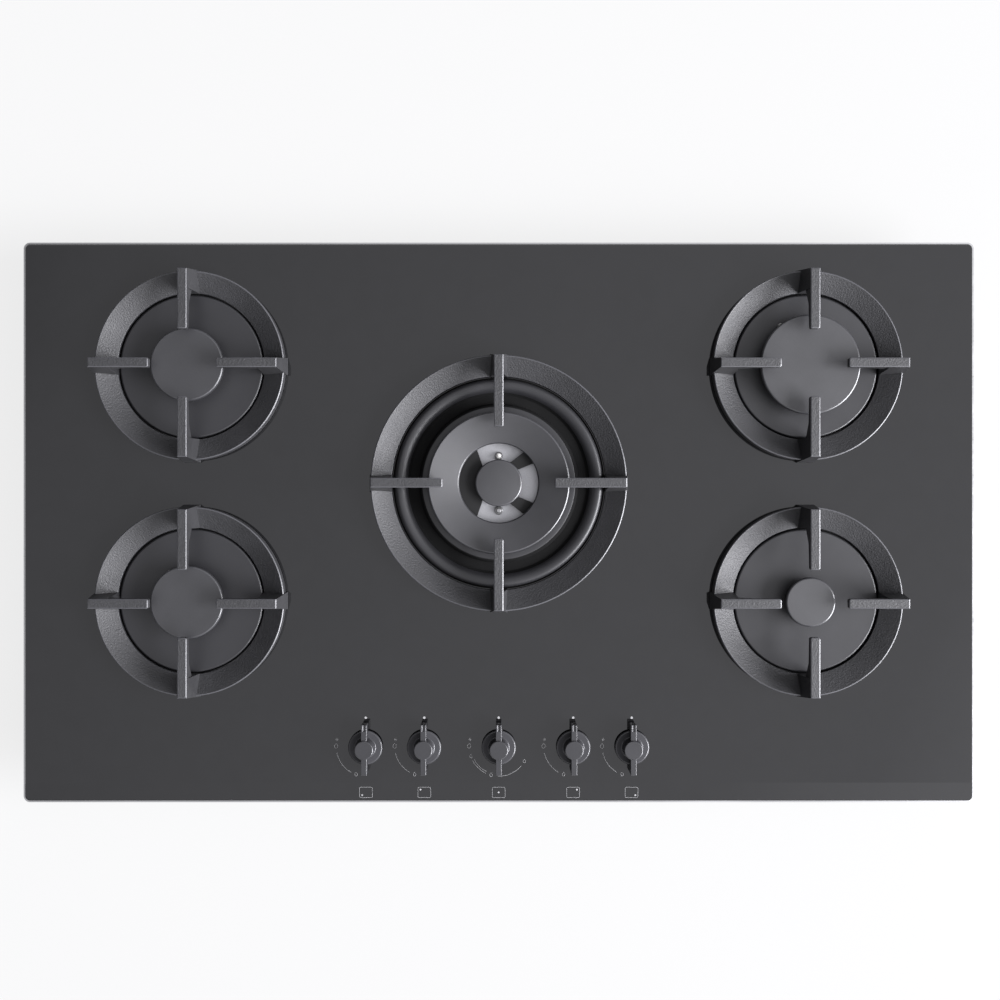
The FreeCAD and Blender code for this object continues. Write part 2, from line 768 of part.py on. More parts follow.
def wok_cup():
    body = new_body("burner_cup_wok", "0", "wok_y")
    low, floor = "wok_cup_low", "glass_face + wok_floor_height"
    under = "glass_under - cup_flange_thick"
    revolve(body, [
        ("0", low), ("wok_cup_r", low), ("wok_cup_r", under), ("wok_cup_flange_r", under),
        ("wok_cup_flange_r", "glass_under"), ("wok_cup_r", "glass_under"),
        ("wok_cup_r", floor), ("0", floor), ("0", floor + " - cup_wall"),
        ("wok_cup_r - cup_wall", floor + " - cup_wall"),
        ("wok_cup_r - cup_wall", low + " + cup_wall"), ("0", low + " + cup_wall")])
    posts = post_places("0", "0", "wok_cup_flange_r - post_inset")
    pad(body, [(px, py, "post_r") for px, py in posts], "dimple_top", under + " + 1")
    jets = wok_jets()
    blocks = [rectangle("1.4 * jet_block", "2 * jet_block", jx, jy) for jx, jy in jets]
    pad(body, blocks, "jet_block_low", low + " + 1")
    pocket(body, [(px, py, "screw_r") for px, py in posts], "0", "dimple_rise + screw_length")
    pocket(body, [(jx, jy, "jet_r") for jx, jy in jets], "outlet_z", low + " + cup_wall + 1")
    for jx, jy in jets:
        face = "-(%s - jet_block)" % jy
        pocket(body, [(jx, "outlet_z", "pipe_r")], face + " - pipe_insert", face + " + 1",
               plane="XZ_Plane")
        pocket(body, [(jx, "outlet_z", "port_r")], face + " - jet_block", face,
               plane="XZ_Plane")
    gas_ways = [("0", "0", "inner_cap_r / 2")]
    gas_ways += [(sx + "wok_gas_way_at", "0", "wok_gas_way_r") for sx in ("", "-")]
    gas_ways += [("0", sy + "wok_gas_way_at", "wok_gas_way_r") for sy in ("", "-")]
    pocket(body, gas_ways, floor + " - cup_wall - 1", floor + " + 1")
    pocket(body, [("0", "wok_spark_r", "spark_r + sensor_clear"),
                  ("0", "-wok_spark_r", "probe_r + sensor_clear")], low + " - 1", floor + " + 1")
    return body


def wok_jets():
    """Places of the inner and outer jets, from the middle of the wok burner."""
    return [("-outlet_shift", "0"), ("outlet_shift", "-outer_jet_shift")]


def arm_windows():
    """Three openings between the arms that carry the wok burner's inner crown."""
    inner = "(inner_cap_r - head_setback + arm_ledge)"
    outer = "(wok_cap_hole_r + head_setback - arm_ledge)"
    low_in, low_out, high_in, high_out, wide_in, wide_out = [name + " * 1deg" for name in (
        "arm_inner_low_angle", "arm_outer_low_angle", "arm_inner_high_angle",
        "arm_outer_high_angle", "wide_arm_inner_angle", "wide_arm_outer_angle")]
    sides = [("-" + low_in, "-" + low_out, low_out, low_in),
             (high_in, high_out, wide_out, wide_in),
             ("-" + wide_in, "-" + wide_out, "-" + high_out, "-" + high_in)]
    return [[polar(inner, first), polar(outer, second) + (outer, 1),
             polar(outer, third), polar(inner, fourth) + (inner, -1)]
            for first, second, third, fourth in sides]


def wok_head():
    body = new_body("burner_head_wok", "0", "wok_y", "glass_face")
    outer, inner = "wok_cap_r - head_setback", "inner_cap_r - head_setback"
    bore, hub = "wok_cap_hole_r + head_setback", "inner_cap_r / 2"
    base, floor = "wok_floor_height + head_base", "wok_floor_height"
    inner_seat = "inner_cap_top - inner_cap_thick"
    revolve(body, [
        (hub, floor), (outer, floor), (outer, "wok_cap_seat"),
        (outer + " - head_wall", "wok_cap_seat"), (outer + " - head_wall", base),
        (bore + " + head_wall", base), (bore + " + head_wall", "wok_cap_seat - wok_cap_fall"),
        (bore, "wok_cap_seat - wok_cap_fall"), (bore, "arm_height"), (inner, "arm_height"),
        (inner, inner_seat), (inner + " - head_wall", inner_seat),
        (inner + " - head_wall", base), (hub, base)])
    pocket(body, arm_windows(), floor + " - 1", "arm_height + 1")
    flame_ports(body, outer, "wok_cap_seat", "wok_ports")
    flame_ports(body, inner, inner_seat, "inner_ports")
    return publish(body)


def wok_cap():
    body = new_body("burner_cap_wok", "0", "wok_y", "glass_face")
    lip = "wok_cap_r - head_setback - head_wall - slip"
    revolve(body, [
        ("wok_cap_hole_r", "wok_cap_seat - wok_cap_fall"),
        ("wok_cap_hole_r + head_setback + head_wall + 1", "wok_cap_seat - wok_cap_fall"),
        (lip + " - head_wall", "wok_cap_seat - cap_lip"), (lip, "wok_cap_seat - cap_lip"),
        (lip, "wok_cap_seat"), ("wok_cap_r", "wok_cap_seat"),
        ("wok_cap_r", "wok_cap_top - cap_edge", "cap_edge", 1),
        ("wok_cap_r - cap_edge", "wok_cap_top"),
        ("wok_cap_hole_r", "wok_cap_top - wok_cap_fall")])
    return publish(body)


def inner_cap():
    body = new_body("burner_cap_wok_inner", "0", "wok_y", "glass_face")
    revolve(body, cap_outline("inner_cap_r", "inner_cap_top", "inner_cap_thick",
                              "inner_cap_r - head_setback - head_wall - slip"))
    return publish(body)


# ---------------------------------------------------------------- taps and knobs
def d_shape(radius, flat):
    """A round section with one flat on its +Y side."""
    half = "sqrt((%s) ^ 2 - (%s) ^ 2)" % (radius, flat)
    return [("-" + half, flat, radius, 1), ("0", "-(%s)" % radius, radius, 1), (half, flat)]


def tap_body(name, x, outlets):
    body = new_body("tap_body_" + name, x, "knob_y")
    revolve(body, [
        ("0", "dimple_top"), ("tap_foot_r", "dimple_top"), ("tap_foot_r", "tap_floor"),
        ("tap_r", "tap_floor"), ("tap_r", "tap_top"), ("0", "tap_top")])
    saddle = rectangle("saddle_width", "rail_back - tap_r / 2", "0",
                       "rail_back / 2 + tap_r / 4")
    pad(body, [saddle], "rail_z - saddle_width / 2", "rail_z + saddle_width / 2")
    pad(body, [(outlet, "outlet_z", "outlet_boss_r") for outlet in outlets],
        "-outlet_reach", "-tap_r / 2", plane="XZ_Plane")
    revolve(body, [
        ("0", "plug_low"), ("plug_low_r + plug_fit", "plug_low"),
        ("plug_high_r + plug_fit", "plug_high"), ("chamber_r", "plug_high"),
        ("chamber_r", "tap_top + 1"), ("0", "tap_top + 1")], groove=True)
    pocket(body, [("rail_back", "rail_z", "rail_r")], "0", "4 * tap_r", plane="YZ_Plane",
           both=True)
    pocket(body, [("0", "rail_z", "port_r")], "-rail_back", "-plug_low_r", plane="XZ_Plane")
    for outlet in outlets:
        pocket(body, [(outlet, "outlet_z", "pipe_r")], "-outlet_reach - 1",
               "pipe_insert - outlet_reach", plane="XZ_Plane")
        pocket(body, [(outlet, "outlet_z", "port_r")], "-outlet_reach", "1 - plug_low_r",
               plane="XZ_Plane")
    pocket(body, [("0", "0", "screw_r")], "0", "dimple_rise + screw_length")
    pocket(body, [(side + "bonnet_screw_at", "0", "bonnet_screw_r") for side in ("", "-")],
           "tap_top - bonnet_screw_length", "tap_top + 1")
    return body


def tap_bonnet(name, x):
    body = new_body("tap_bonnet_" + name, x, "knob_y")
    pad(body, [("0", "0", "tap_r"), ("0", "0", "stem_r + stem_fit")],
        "tap_top", "tap_top + bonnet_thick")
    pocket(body, [(side + "bonnet_screw_at", "0", "bonnet_screw_r") for side in ("", "-")],
           "tap_top - 1", "tap_top + bonnet_thick + 1")
    return body


def tap_plug(name, x):
    body = new_body("tap_plug_" + name, x, "knob_y")
    low = "plug_low + plug_fit"
    revolve(body, [("0", low), ("plug_low_r", low), ("plug_high_r", "plug_high"),
                   ("0", "plug_high")])
    pocket(body, [d_shape("stem_r + stem_fit", "stem_flat + stem_fit")],
           "bore_low", "plug_high + 1")
    revolve(body, [("plug_low_r + 1", "rail_z - port_r / 2"), ("chamber_r", "rail_z - port_r / 2"),
                   ("chamber_r", "rail_z + port_r / 2"), ("plug_low_r + 1", "rail_z + port_r / 2")],
            groove=True)
    slot = rectangle("chamber_r - plug_low_r + 1", "rail_z - outlet_z + port_r",
                     "(chamber_r + plug_low_r - 1) / 2", "(rail_z + outlet_z) / 2")
    pocket(body, [slot], "0", "port_r", plane="XZ_Plane", both=True)
    return publish(body)


def tap_spindle(name, x):
    body = new_body("tap_spindle_" + name, x, "knob_y")
    pad(body, [d_shape("stem_r", "stem_flat")], "stem_low", "glass_face + stem_top")
    pad(body, [("0", "0", "collar_r")], "collar_low", "collar_low + collar_thick")
    return publish(body)


def knob(name, x):
    body = new_body("knob_" + name, x, "knob_y", "glass_face")
    skirt_top = "knob_lift + knob_skirt_thick"
    revolve(body, [("0", "knob_lift"), ("knob_skirt_r", "knob_lift"), ("knob_skirt_r", skirt_top),
                   ("knob_hub_r", skirt_top), ("knob_hub_r", "knob_hub_top"),
                   ("0", "knob_hub_top")])
    pad(body, [rectangle("blade_width", "blade_length")], "knob_lift", "blade_top")
    pocket(body, [rectangle("groove_width", "groove_length", "0",
                            "(blade_length - groove_length) / 2 + 1")],
           "blade_top - groove_depth", "blade_top + 1")
    pocket(body, [d_shape("stem_r + stem_fit", "stem_flat + stem_fit")],
           "knob_lift - 1", "stem_top + stem_fit")
    return publish(body)


def spindle_seal(name, x):
    body = new_body("spindle_seal_" + name, x, "knob_y")
    bore, neck = "stem_r + seal_clear", "stem_hole_r - stem_fit"
    revolve(body, [
        (bore, "glass_under - lip_thick"), ("stem_hole_r + 2", "glass_under - lip_thick"),
        ("stem_hole_r + 2", "glass_under"), (neck, "glass_under"), (neck, "glass_face"),
        (bore, "glass_face")])
    return body


# ---------------------------------------------------------------- tubes, leads and springs
def route(points, largest=None):
    """Straight runs joined by tangent arcs, each as large as its two runs allow."""
    spots = [FreeCAD.Vector(*point) for point in points]
    edges = []
    reached = spots[0]
    for before, corner, after in zip(spots, spots[1:], spots[2:]):
        back, ahead = (before - corner), (after - corner)
        turn = math.pi - back.getAngle(ahead)
        radius = 0.45 * min(back.Length, ahead.Length) / math.tan(turn / 2)
        if largest:
            radius = min(radius, largest)
        reach = radius * math.tan(turn / 2)
        back.normalize()
        ahead.normalize()
        start, end = corner + back * reach, corner + ahead * reach
        middle = (back + ahead).normalize()
        centre = corner + middle * (radius / math.cos(turn / 2))
        edges.append(Part.LineSegment(reached, start).toShape())
        edges.append(Part.Arc(start, centre - middle * radius, end).toShape())
        reached = end
    edges.append(Part.LineSegment(reached, spots[-1]).toShape())
    return Part.Wire(edges)


def tube(points, radius, bore=0.0, largest=None):
    """A round tube along a route; its volume is checked against its length."""
    path = route(points, largest)
    start = FreeCAD.Vector(*points[0])
    heading = FreeCAD.Vector(*points[1]) - start
    outer = Part.Wire(Part.makeCircle(radius, start, heading))
    solid = path.makePipe(Part.Face(outer))
    section = math.pi * radius ** 2
    if bore:
        inner = Part.Wire(Part.makeCircle(bore, start, heading))
        solid = solid.cut(path.makePipe(Part.Face(inner)))
        section -= math.pi * bore ** 2
    if abs(solid.Volume / (section * path.Length) - 1) > 0.001:
        raise RuntimeError("tube volume is off: %s" % points)
    return solid.Solids[0]


def place(x, y, z):
    return size(x), size(y), size(z)


def gas_rail():
    low_x, rail_y, rail_z = place("rail_left", "rail_y", "rail_z")
    far_x = size("inlet_x")
    end_y = size("inlet_y - inlet_socket_reach + pipe_insert")
    rail = tube([(low_x, rail_y, rail_z), (far_x, rail_y, rail_z), (far_x, end_y, rail_z)],
                size("rail_r"), size("rail_bore_r"), size("rail_bend_r"))
    stop = Part.makeCylinder(size("rail_r"), 2 * size("pan_sheet"),
                             FreeCAD.Vector(low_x, rail_y, rail_z), FreeCAD.Vector(-1, 0, 0))
    rail = rail.fuse(stop)
    for x in TAPS.values():
        rail = rail.cut(Part.makeCylinder(size("port_r"), size("rail_r"),
                                          FreeCAD.Vector(size(x), rail_y, rail_z),
                                          FreeCAD.Vector(0, -1, 0)))
    solid_group("gas_rail", [rail.removeSplitter()])


def inlet_elbow():
    body = new_body("inlet_elbow", "inlet_x", "inlet_y")
    thread_end = "recess_top - pan_sheet - inlet_nut_thick"
    revolve(body, [
        ("0", "inlet_low"), ("inlet_r", "inlet_low"), ("inlet_r", thread_end),
        ("inlet_nut_r", thread_end), ("inlet_nut_r", "recess_top - pan_sheet"),
        ("inlet_r", "recess_top - pan_sheet"), ("inlet_r", "recess_top"),
        ("inlet_body_r", "recess_top"), ("inlet_body_r", "inlet_body_top"),
        ("0", "inlet_body_top")])
    pad(body, [("0", "rail_z", "inlet_socket_r")], "0", "inlet_socket_reach", plane="XZ_Plane")
    pocket(body, [("0", "0", "inlet_bore_r")], "inlet_low - 1", "rail_z + inlet_bore_r")
    pocket(body, [("0", "rail_z", "rail_r")], "inlet_socket_reach - pipe_insert",
           "inlet_socket_reach + 1", plane="XZ_Plane")
    pocket(body, [("0", "rail_z", "rail_bore_r")], "0", "inlet_socket_reach", plane="XZ_Plane")
    return publish(body)


def burner_pipes():
    """One feed pipe from each tap outlet to its jet; the wok burner has two."""
    level = size("outlet_z")
    start_y = size("knob_y + outlet_reach - pipe_insert")
    short = size("jet_block - pipe_insert")
    front_y, rear_y, wok_y = size("front_y"), size("rear_y"), size("wok_y")
    runs = []
    for side in (-1, 1):
        burner_x, lane_x = side * size("side_x"), side * size("lane_x")
        outer_x, inner_x = side * size("knob_outer_x"), side * size("knob_inner_x")
        front_lane, rear_lane = size("front_lane_y"), size("rear_lane_y")
        runs.append([(outer_x, start_y), (outer_x, front_lane), (burner_x, front_lane),
                     (burner_x, front_y - short)])
        runs.append([(inner_x, start_y), (inner_x, rear_lane), (lane_x, rear_lane),
                     (lane_x, rear_y), (burner_x - side * short, rear_y)])
    for jet_x, jet_y in wok_jets():
        x = size(jet_x)
        runs.append([(x, start_y), (x, wok_y + size(jet_y) - short)])
    solid_group("burner_pipes", [
        tube([(x, y, level) for x, y in run], size("pipe_r"), size("pipe_bore_r"),
             size("pipe_bend_r")) for run in runs])


def injector(name, x, y):
    """A brass jet with a fine bore, standing in a burner cup's jet block."""
    body = new_body("injector_" + name, x, y)
    revolve(body, [
        ("jet_bore_r", "jet_low"), ("jet_r", "jet_low"), ("jet_r", "cup_low + cup_wall"),
        ("jet_r - 1", "cup_low + cup_wall + jet_rise"),
        ("jet_bore_r", "cup_low + cup_wall + jet_rise")])
    return body


def injectors():
    members = [injector(name, x, y) for name, (x, y, _, _) in SIDE_BURNERS.items()]
    for ring, (jet_x, jet_y) in zip(("inner", "outer"), wok_jets()):
        members.append(injector("wok_" + ring, jet_x, "wok_y + " + jet_y))
    group("injectors", members)


def sparker(name, x, y):
    body = new_body("sparker_" + name, x, y)
    top = "glass_face + spark_height"
    revolve(body, [("0", "glass_under - spark_tail"), ("spark_r", "glass_under - spark_tail"),
                   ("spark_r", top), ("spark_pin_r", top), ("spark_pin_r", top + " + spark_pin"),
                   ("0", top + " + spark_pin")])
    return body


def sensor_places():
    """Panel places of each burner's sparker and flame probe."""
    places = {}
    for name, (x, y, cap, _) in SIDE_BURNERS.items():
        spark_x, spark_y = spark_place(name, cap)
        probe_x, probe_y = probe_place(x, cap)
        places[name] = ((x + " + " + spark_x, y + " + " + spark_y),
                        (x + " + " + probe_x, y + " + " + probe_y))
    places["wok"] = (("0", "wok_y + wok_spark_r"), ("0", "wok_y - wok_spark_r"))
    return places


# waypoints between the wiring's two ends, chosen to pass the cups, posts and pipes
SPARK_WAYS = {
    "rear_left": [(-250.0, 202.0)],
    "front_left": [(-205.0, 160.0), (-235.0, 60.0)],
    "wok": [(-62.0, 122.0)],
    "rear_right": [(0.0, 218.0), (180.0, 214.0)],
    "front_right": [(60.0, 152.0), (200.0, 60.0), (322.0, -78.0)],
}
PROBE_WAYS = {
    "rear_left": [(-290.0, 95.0), (-237.0, 0.0), (-180.0, -120.0), (-85.0, -170.0)],
    "front_left": [(-346.0, -128.0), (-290.0, -178.0), (-200.0, -170.0), (-140.0, -178.0)],
    "wok": [],
    "rear_right": [(352.0, 95.0), (300.0, 20.0), (237.0, -60.0), (180.0, -125.0), (85.0, -170.0)],
    "front_right": [(336.0, -120.0), (290.0, -178.0), (200.0, -170.0), (140.0, -178.0)],
}


def spark_leads():
    """High-voltage leads from the module's terminals to the sparkers, and its supply lead."""
    level, top = size("lead_z"), size("pan_sheet + module_height")
    shapes = []
    for slot, name in enumerate(SPARK_WAYS):
        start_x = size("module_x") + (slot - 2) * size("module_length") / 6
        start_y = size("module_y")
        (x, y), _ = sensor_places()[name]
        end_x, end_y, end_z = place(x, y, "glass_under - spark_tail")
        middle = [(mx, my, level) for mx, my in SPARK_WAYS[name]]
        shapes.append(tube([(start_x, start_y, top), (start_x, start_y, level)] + middle
                           + [(end_x, end_y, level), (end_x, end_y, end_z)], size("lead_r")))
    y = size("pan_rear - terminal_gap - terminal_width / 2")
    low = size("pan_sheet + terminal_height / 2")
    near_x, far_x = size("terminal_x - terminal_length / 2"), size("module_x + module_length / 2")
    straight = size("terminal_width")
    shapes.append(tube([
        (near_x, y, low), (near_x - straight, y, low),
        (far_x + straight, size("module_y"), low), (far_x, size("module_y"), low)],
        size("supply_lead_r")))
    solid_group("ignition_leads", shapes)


def flame_probes():
    """Each flame probe with its own metal-sheathed lead to the foot of its tap."""
    level = size("probe_lead_z")
    shapes = []
    for name, tap_x in TAPS.items():
        _, (x, y) = sensor_places()[name]
        x, y, tail = place(x, y, "glass_under - probe_tail")
        length = size("glass_face + probe_height") - tail
        rod = Part.makeCylinder(size("probe_r"), length, FreeCAD.Vector(x, y, tail))
        end_x, end_y = size(tap_x), size("knob_y + tap_foot_r")
        middle = [(mx, my, level) for mx, my in PROBE_WAYS[name]]
        if middle:
            middle.append((end_x, end_y + 2 * size("tap_foot_r"), level))
        lead = tube([(x, y, tail), (x, y, level)] + middle + [(end_x, end_y, level)],
                    size("probe_lead_r"))
        shapes.append(rod.fuse(lead))
    solid_group("thermocouples", shapes)


def coil(radius, rise, turns, wire_r):
    """A round wire wound about the Z axis, in quarter turns that are arcs."""
    def spot(turn):
        angle = 2 * math.pi * turn
        return FreeCAD.Vector(radius * math.cos(angle), radius * math.sin(angle),
                              rise * turn / turns)
    quarters = [n / 4 for n in range(round(4 * turns))]
    path = Part.Wire([Part.Arc(spot(q), spot(q + 1 / 8), spot(q + 1 / 4)).toShape()
                      for q in quarters])
    first = path.Edges[0]
    section = Part.makeCircle(wire_r, spot(0), first.tangentAt(first.FirstParameter))
    return path.makePipeShell([Part.Wire(section)], True, False)


def tap_springs():
    """Return springs between each plug and its spindle's collar."""
    wire_r = size("spring_wire_r")
    low, high = size("plug_high") + wire_r, size("collar_low") - wire_r
    shapes = []
    for x in TAPS.values():
        spring = coil(size("spring_r"), high - low, size("spring_turns"), wire_r)
        spring.translate(FreeCAD.Vector(size(x), size("knob_y"), low))
        shapes.append(spring)
    solid_group("tap_springs", shapes)


def screw(x, y, z, down, length, radius, head_r, head):
    """A pan-head screw whose head seats at z and whose shank runs away from it."""
    way = -1 if down else 1
    seat = FreeCAD.Vector(x, y, z)
    axis = FreeCAD.Vector(0, 0, way)
    shank = Part.makeCylinder(radius, length, seat, axis)
    return shank.fuse(Part.makeCylinder(head_r, head, seat, -axis)).removeSplitter()


def screws():
    shapes = []
    for x, y in pan_screw_places():
        x, y, z = place(x, y, "dimple_rise")
        shapes.append(screw(x, y, z, False, size("screw_length"), size("screw_r"),
                            size("screw_head_r"), size("screw_head")))
    for tap_x in TAPS.values():
        for side in ("+", "-"):
            x, y, z = place(tap_x + side + "bonnet_screw_at", "knob_y", "tap_top + bonnet_thick")
            shapes.append(screw(x, y, z, True, size("bonnet_screw_length"),
                                size("bonnet_screw_r"), size("bonnet_screw_head_r"),
                                size("bonnet_screw_r")))
    solid_group("screws", shapes)


def box_on_floor(label, x, y, length, width, height):
    body = new_body(label, x, y)
    pad(body, [rectangle(length, width)], "pan_sheet", "pan_sheet + " + height)
    return publish(body)


# ---------------------------------------------------------------- assembly
glass_top()
steel_rim()
worktop_seal()
bottom_pan()
gas_rail()
inlet_elbow()
burner_pipes()
injectors()
group("burner_cups", [side_cup(name, x, y, cap)
                      for name, (x, y, cap, _) in SIDE_BURNERS.items()] + [wok_cup()])
for name, (x, y, cap, ports) in SIDE_BURNERS.items():
    side_dish(name, x, y, cap)
    side_head(name, x, y, cap, ports)
    side_cap(name, x, y, cap)
    grate(name, x, y, "side_ring_r", "side_bore_r", "side_finger_r", "side_tip_r")
    grate_pads(name, x, y, "side_ring_r")
wok_dish()
wok_head()
wok_cap()
inner_cap()
grate("wok", "0", "wok_y", "wok_ring_r", "wok_bore_r", "wok_finger_r", "wok_tip_r")
grate_pads("wok", "0", "wok_y", "wok_ring_r")
group("igniters", [sparker(name, *spark) for name, (spark, _) in sensor_places().items()])
flame_probes()
outlets = {name: ["0"] for name in TAPS}
outlets["wok"] = ["-outlet_shift", "outlet_shift"]
group("tap_bodies", [tap_body(name, x, outlets[name]) for name, x in TAPS.items()])
group("tap_bonnets", [tap_bonnet(name, x) for name, x in TAPS.items()])
group("spindle_seals", [spindle_seal(name, x) for name, x in TAPS.items()])
tap_springs()
for name, x in TAPS.items():
    tap_plug(name, x)
    tap_spindle(name, x)
    knob(name, x)
box_on_floor("ignition_module", "module_x", "module_y", "module_length", "module_width",
             "module_height")
box_on_floor("terminal_block", "terminal_x", "pan_rear - terminal_gap - terminal_width / 2",
             "terminal_length", "terminal_width", "terminal_height")
spark_leads()
screws()

# ---------------------------------------------------------------- checks and export
doc.recompute()
for item in doc.Objects:
    if "Invalid" in item.State or "Error" in item.State:
        raise RuntimeError("%s did not build: %s" % (item.Label, item.State))
for body, cut in cuts:
    if cut.BaseFeature and cut.Shape.Volume >= cut.BaseFeature.Shape.Volume - 1e-6:
        raise RuntimeError("%s cuts nothing from %s" % (cut.Label, body.Label))
os.makedirs("parts", exist_ok=True)
for item in parts:
    shape = item.Shape
    if shape.isNull() or not shape.isValid() or not shape.Solids:
        raise RuntimeError("%s has no valid solid" % item.Label)
    shape.exportStep("parts/%s.step" % item.Label)
    box = shape.BoundBox
    print("%-26s %2d solids  %10.1f mm3  z %6.2f to %6.2f"
          % (item.Label, len(shape.Solids), shape.Volume, box.ZMin, box.ZMax))
print(len(parts), "nodes")
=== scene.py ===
# Looks of the gas cooktop: enamelled caps, dishes and pan supports, knobs, printed signs, finishes.
# Lengths are in millimetres and become metres where a mesh is made.
import json
import math

import bmesh
import bpy
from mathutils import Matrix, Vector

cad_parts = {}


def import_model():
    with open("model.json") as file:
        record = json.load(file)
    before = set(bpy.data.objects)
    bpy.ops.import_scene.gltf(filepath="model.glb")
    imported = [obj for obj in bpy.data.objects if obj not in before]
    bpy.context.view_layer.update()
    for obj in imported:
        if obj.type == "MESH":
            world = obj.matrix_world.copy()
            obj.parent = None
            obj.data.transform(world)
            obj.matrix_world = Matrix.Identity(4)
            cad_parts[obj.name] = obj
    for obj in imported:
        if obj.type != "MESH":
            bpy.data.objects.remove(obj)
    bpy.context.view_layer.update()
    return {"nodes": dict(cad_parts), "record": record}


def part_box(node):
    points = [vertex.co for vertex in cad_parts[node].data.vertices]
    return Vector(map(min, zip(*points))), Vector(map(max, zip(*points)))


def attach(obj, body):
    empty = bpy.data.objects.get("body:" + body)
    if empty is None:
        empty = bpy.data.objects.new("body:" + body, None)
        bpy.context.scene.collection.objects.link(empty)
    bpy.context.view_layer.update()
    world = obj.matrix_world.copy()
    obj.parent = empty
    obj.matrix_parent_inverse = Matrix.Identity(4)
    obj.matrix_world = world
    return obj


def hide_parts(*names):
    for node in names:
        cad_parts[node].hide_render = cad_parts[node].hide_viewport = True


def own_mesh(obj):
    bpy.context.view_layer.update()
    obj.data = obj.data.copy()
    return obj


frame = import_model()

MM = 0.001
# The edge look is worn and lighter, a painted sheen along the edges.
RUBBED_AND_SHEEN = 1  # place of the edge finish among a piece's looks
SIDE_BURNERS = ("rear_left", "front_left", "rear_right", "front_right")
TAPS = ("front_left", "rear_left", "wok", "rear_right", "front_right")


# ---------------------------------------------------------------- places read from the frame
def centre(node):
    """Middle of a node in millimetres, seen from above."""
    low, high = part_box(node)
    return (low.x + high.x) / 2 / MM, (low.y + high.y) / 2 / MM


def half_width(node):
    """Half of a node's extent along X in millimetres."""
    low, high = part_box(node)
    return (high.x - low.x) / 2 / MM


def top(node):
    """Height of a node's top in millimetres."""
    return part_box(node)[1].z / MM


GLASS = top("glass_top")


# ---------------------------------------------------------------- modelling steps
def deselect_all():
    if bpy.context.mode != "OBJECT":
        bpy.ops.object.mode_set(mode="OBJECT")
    bpy.ops.object.select_all(action="DESELECT")


def begin():
    deselect_all()
    bpy.context.view_layer.objects.active = None


def edit(select="SELECT"):
    bpy.ops.object.mode_set(mode="EDIT")
    bpy.ops.mesh.select_mode(type="VERT")
    bpy.ops.mesh.select_all(action=select)


def pick(test, kind="faces"):
    """Selects the faces or vertices in edit mode whose place and normal pass the test."""
    bpy.ops.mesh.select_mode(type="FACE" if kind == "faces" else "VERT")
    bpy.ops.mesh.select_all(action="DESELECT")
    mesh = bmesh.from_edit_mesh(bpy.context.object.data)
    for item in getattr(mesh, kind):
        place = item.calc_center_median() if kind == "faces" else item.co
        item.select_set(bool(test(place / MM, item.normal)))
    mesh.select_flush_mode()
    bmesh.update_edit_mesh(bpy.context.object.data)


def move(x=0.0, y=0.0, z=0.0):
    bpy.ops.transform.translate(value=(x * MM, y * MM, z * MM))


def close_mesh():
    bpy.ops.mesh.select_all(action="SELECT")
    bpy.ops.mesh.remove_doubles(threshold=0.001 * MM)
    bpy.ops.mesh.normals_make_consistent(inside=False)
    bpy.ops.object.mode_set(mode="OBJECT")


def apply_modifier(kind, **settings):
    piece = bpy.context.object
    modifier = piece.modifiers.new(kind, kind)
    for name, value in settings.items():
        setattr(modifier, name, value)
    bpy.ops.object.modifier_apply(modifier=modifier.name)


def ease_edges(width, looks, segments=3, angle=20.0, trim=None):
    """Rounds the active piece's edges; they get the last look, or the one that trim names."""
    slots = bpy.context.object.data.materials
    for look in looks:
        slots.append(look)
    bpy.ops.object.shade_smooth()
    apply_modifier("BEVEL", width=width * MM, segments=segments, limit_method="ANGLE",
                   angle_limit=math.radians(angle), harden_normals=True,
                   material=len(looks) - 1 if trim is None else trim)


def rub_and_sheen_edge(test):
    """Gives the active piece's faces whose place and normal pass the test the edge look: worn, and
    lighter as a painted sheen.
    """
    for face in bpy.context.object.data.polygons:
        if test(face.center / MM, face.normal):
            face.material_index = RUBBED_AND_SHEEN


def finish(piece, body, slot, *nodes):
    """Gives a finished piece its place in the frame."""
    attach(piece, body)
    if nodes:
        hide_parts(*nodes)


def settle(name):
    """Puts the active piece's place into its mesh and names it."""
    bpy.ops.object.transform_apply(location=True, rotation=True, scale=True)
    piece = bpy.context.object
    piece.name = name
    piece.data.name = name
    return piece


def turned(name, x, y, outline, sides=128, closed=True):
    """A circle drawn through (radius, height) corners; unless closed, a disc fills each end."""
    begin()
    radius, height = outline[0]
    bpy.ops.mesh.primitive_circle_add(vertices=sides, radius=radius * MM, fill_type="NOTHING",
                                      location=(x * MM, y * MM, height * MM))
    edit()
    if not closed:
        bpy.ops.mesh.edge_face_add()
        bpy.ops.mesh.select_all(action="SELECT")
    for next_radius, next_height in outline[1:] + (outline[:1] if closed else []):
        bpy.ops.mesh.extrude_region_move()
        share = next_radius / radius
        bpy.ops.transform.resize(value=(share, share, 1.0))
        move(z=next_height - height)
        radius, height = next_radius, next_height
    close_mesh()
    return settle(name)


def copy_piece(source, name, x=0.0, y=0.0, turn=0.0):
    """A copy with its own mesh, turned about the vertical through the origin and then moved."""
    piece = source.copy()
    piece.data = source.data.copy()
    bpy.context.scene.collection.objects.link(piece)
    begin()
    piece.select_set(True)
    bpy.context.view_layer.objects.active = piece
    piece.rotation_euler.z = math.radians(turn)
    piece.location = (x * MM, y * MM, 0.0)
    return settle(name)


def joined(pieces, name):
    begin()
    for piece in pieces:
        piece.select_set(True)
    bpy.context.view_layer.objects.active = pieces[0]
    if len(pieces) > 1:
        bpy.ops.object.join()
    return settle(name)


def arc_points(middle_r, middle_z, radius, first, last, steps):
    """Outline points on a circular arc, its angles in degrees from the outward direction."""
    angles = [math.radians(first + (last - first) * step / steps) for step in range(steps + 1)]
    return [(middle_r + radius * math.cos(angle), middle_z + radius * math.sin(angle))
            for angle in angles]


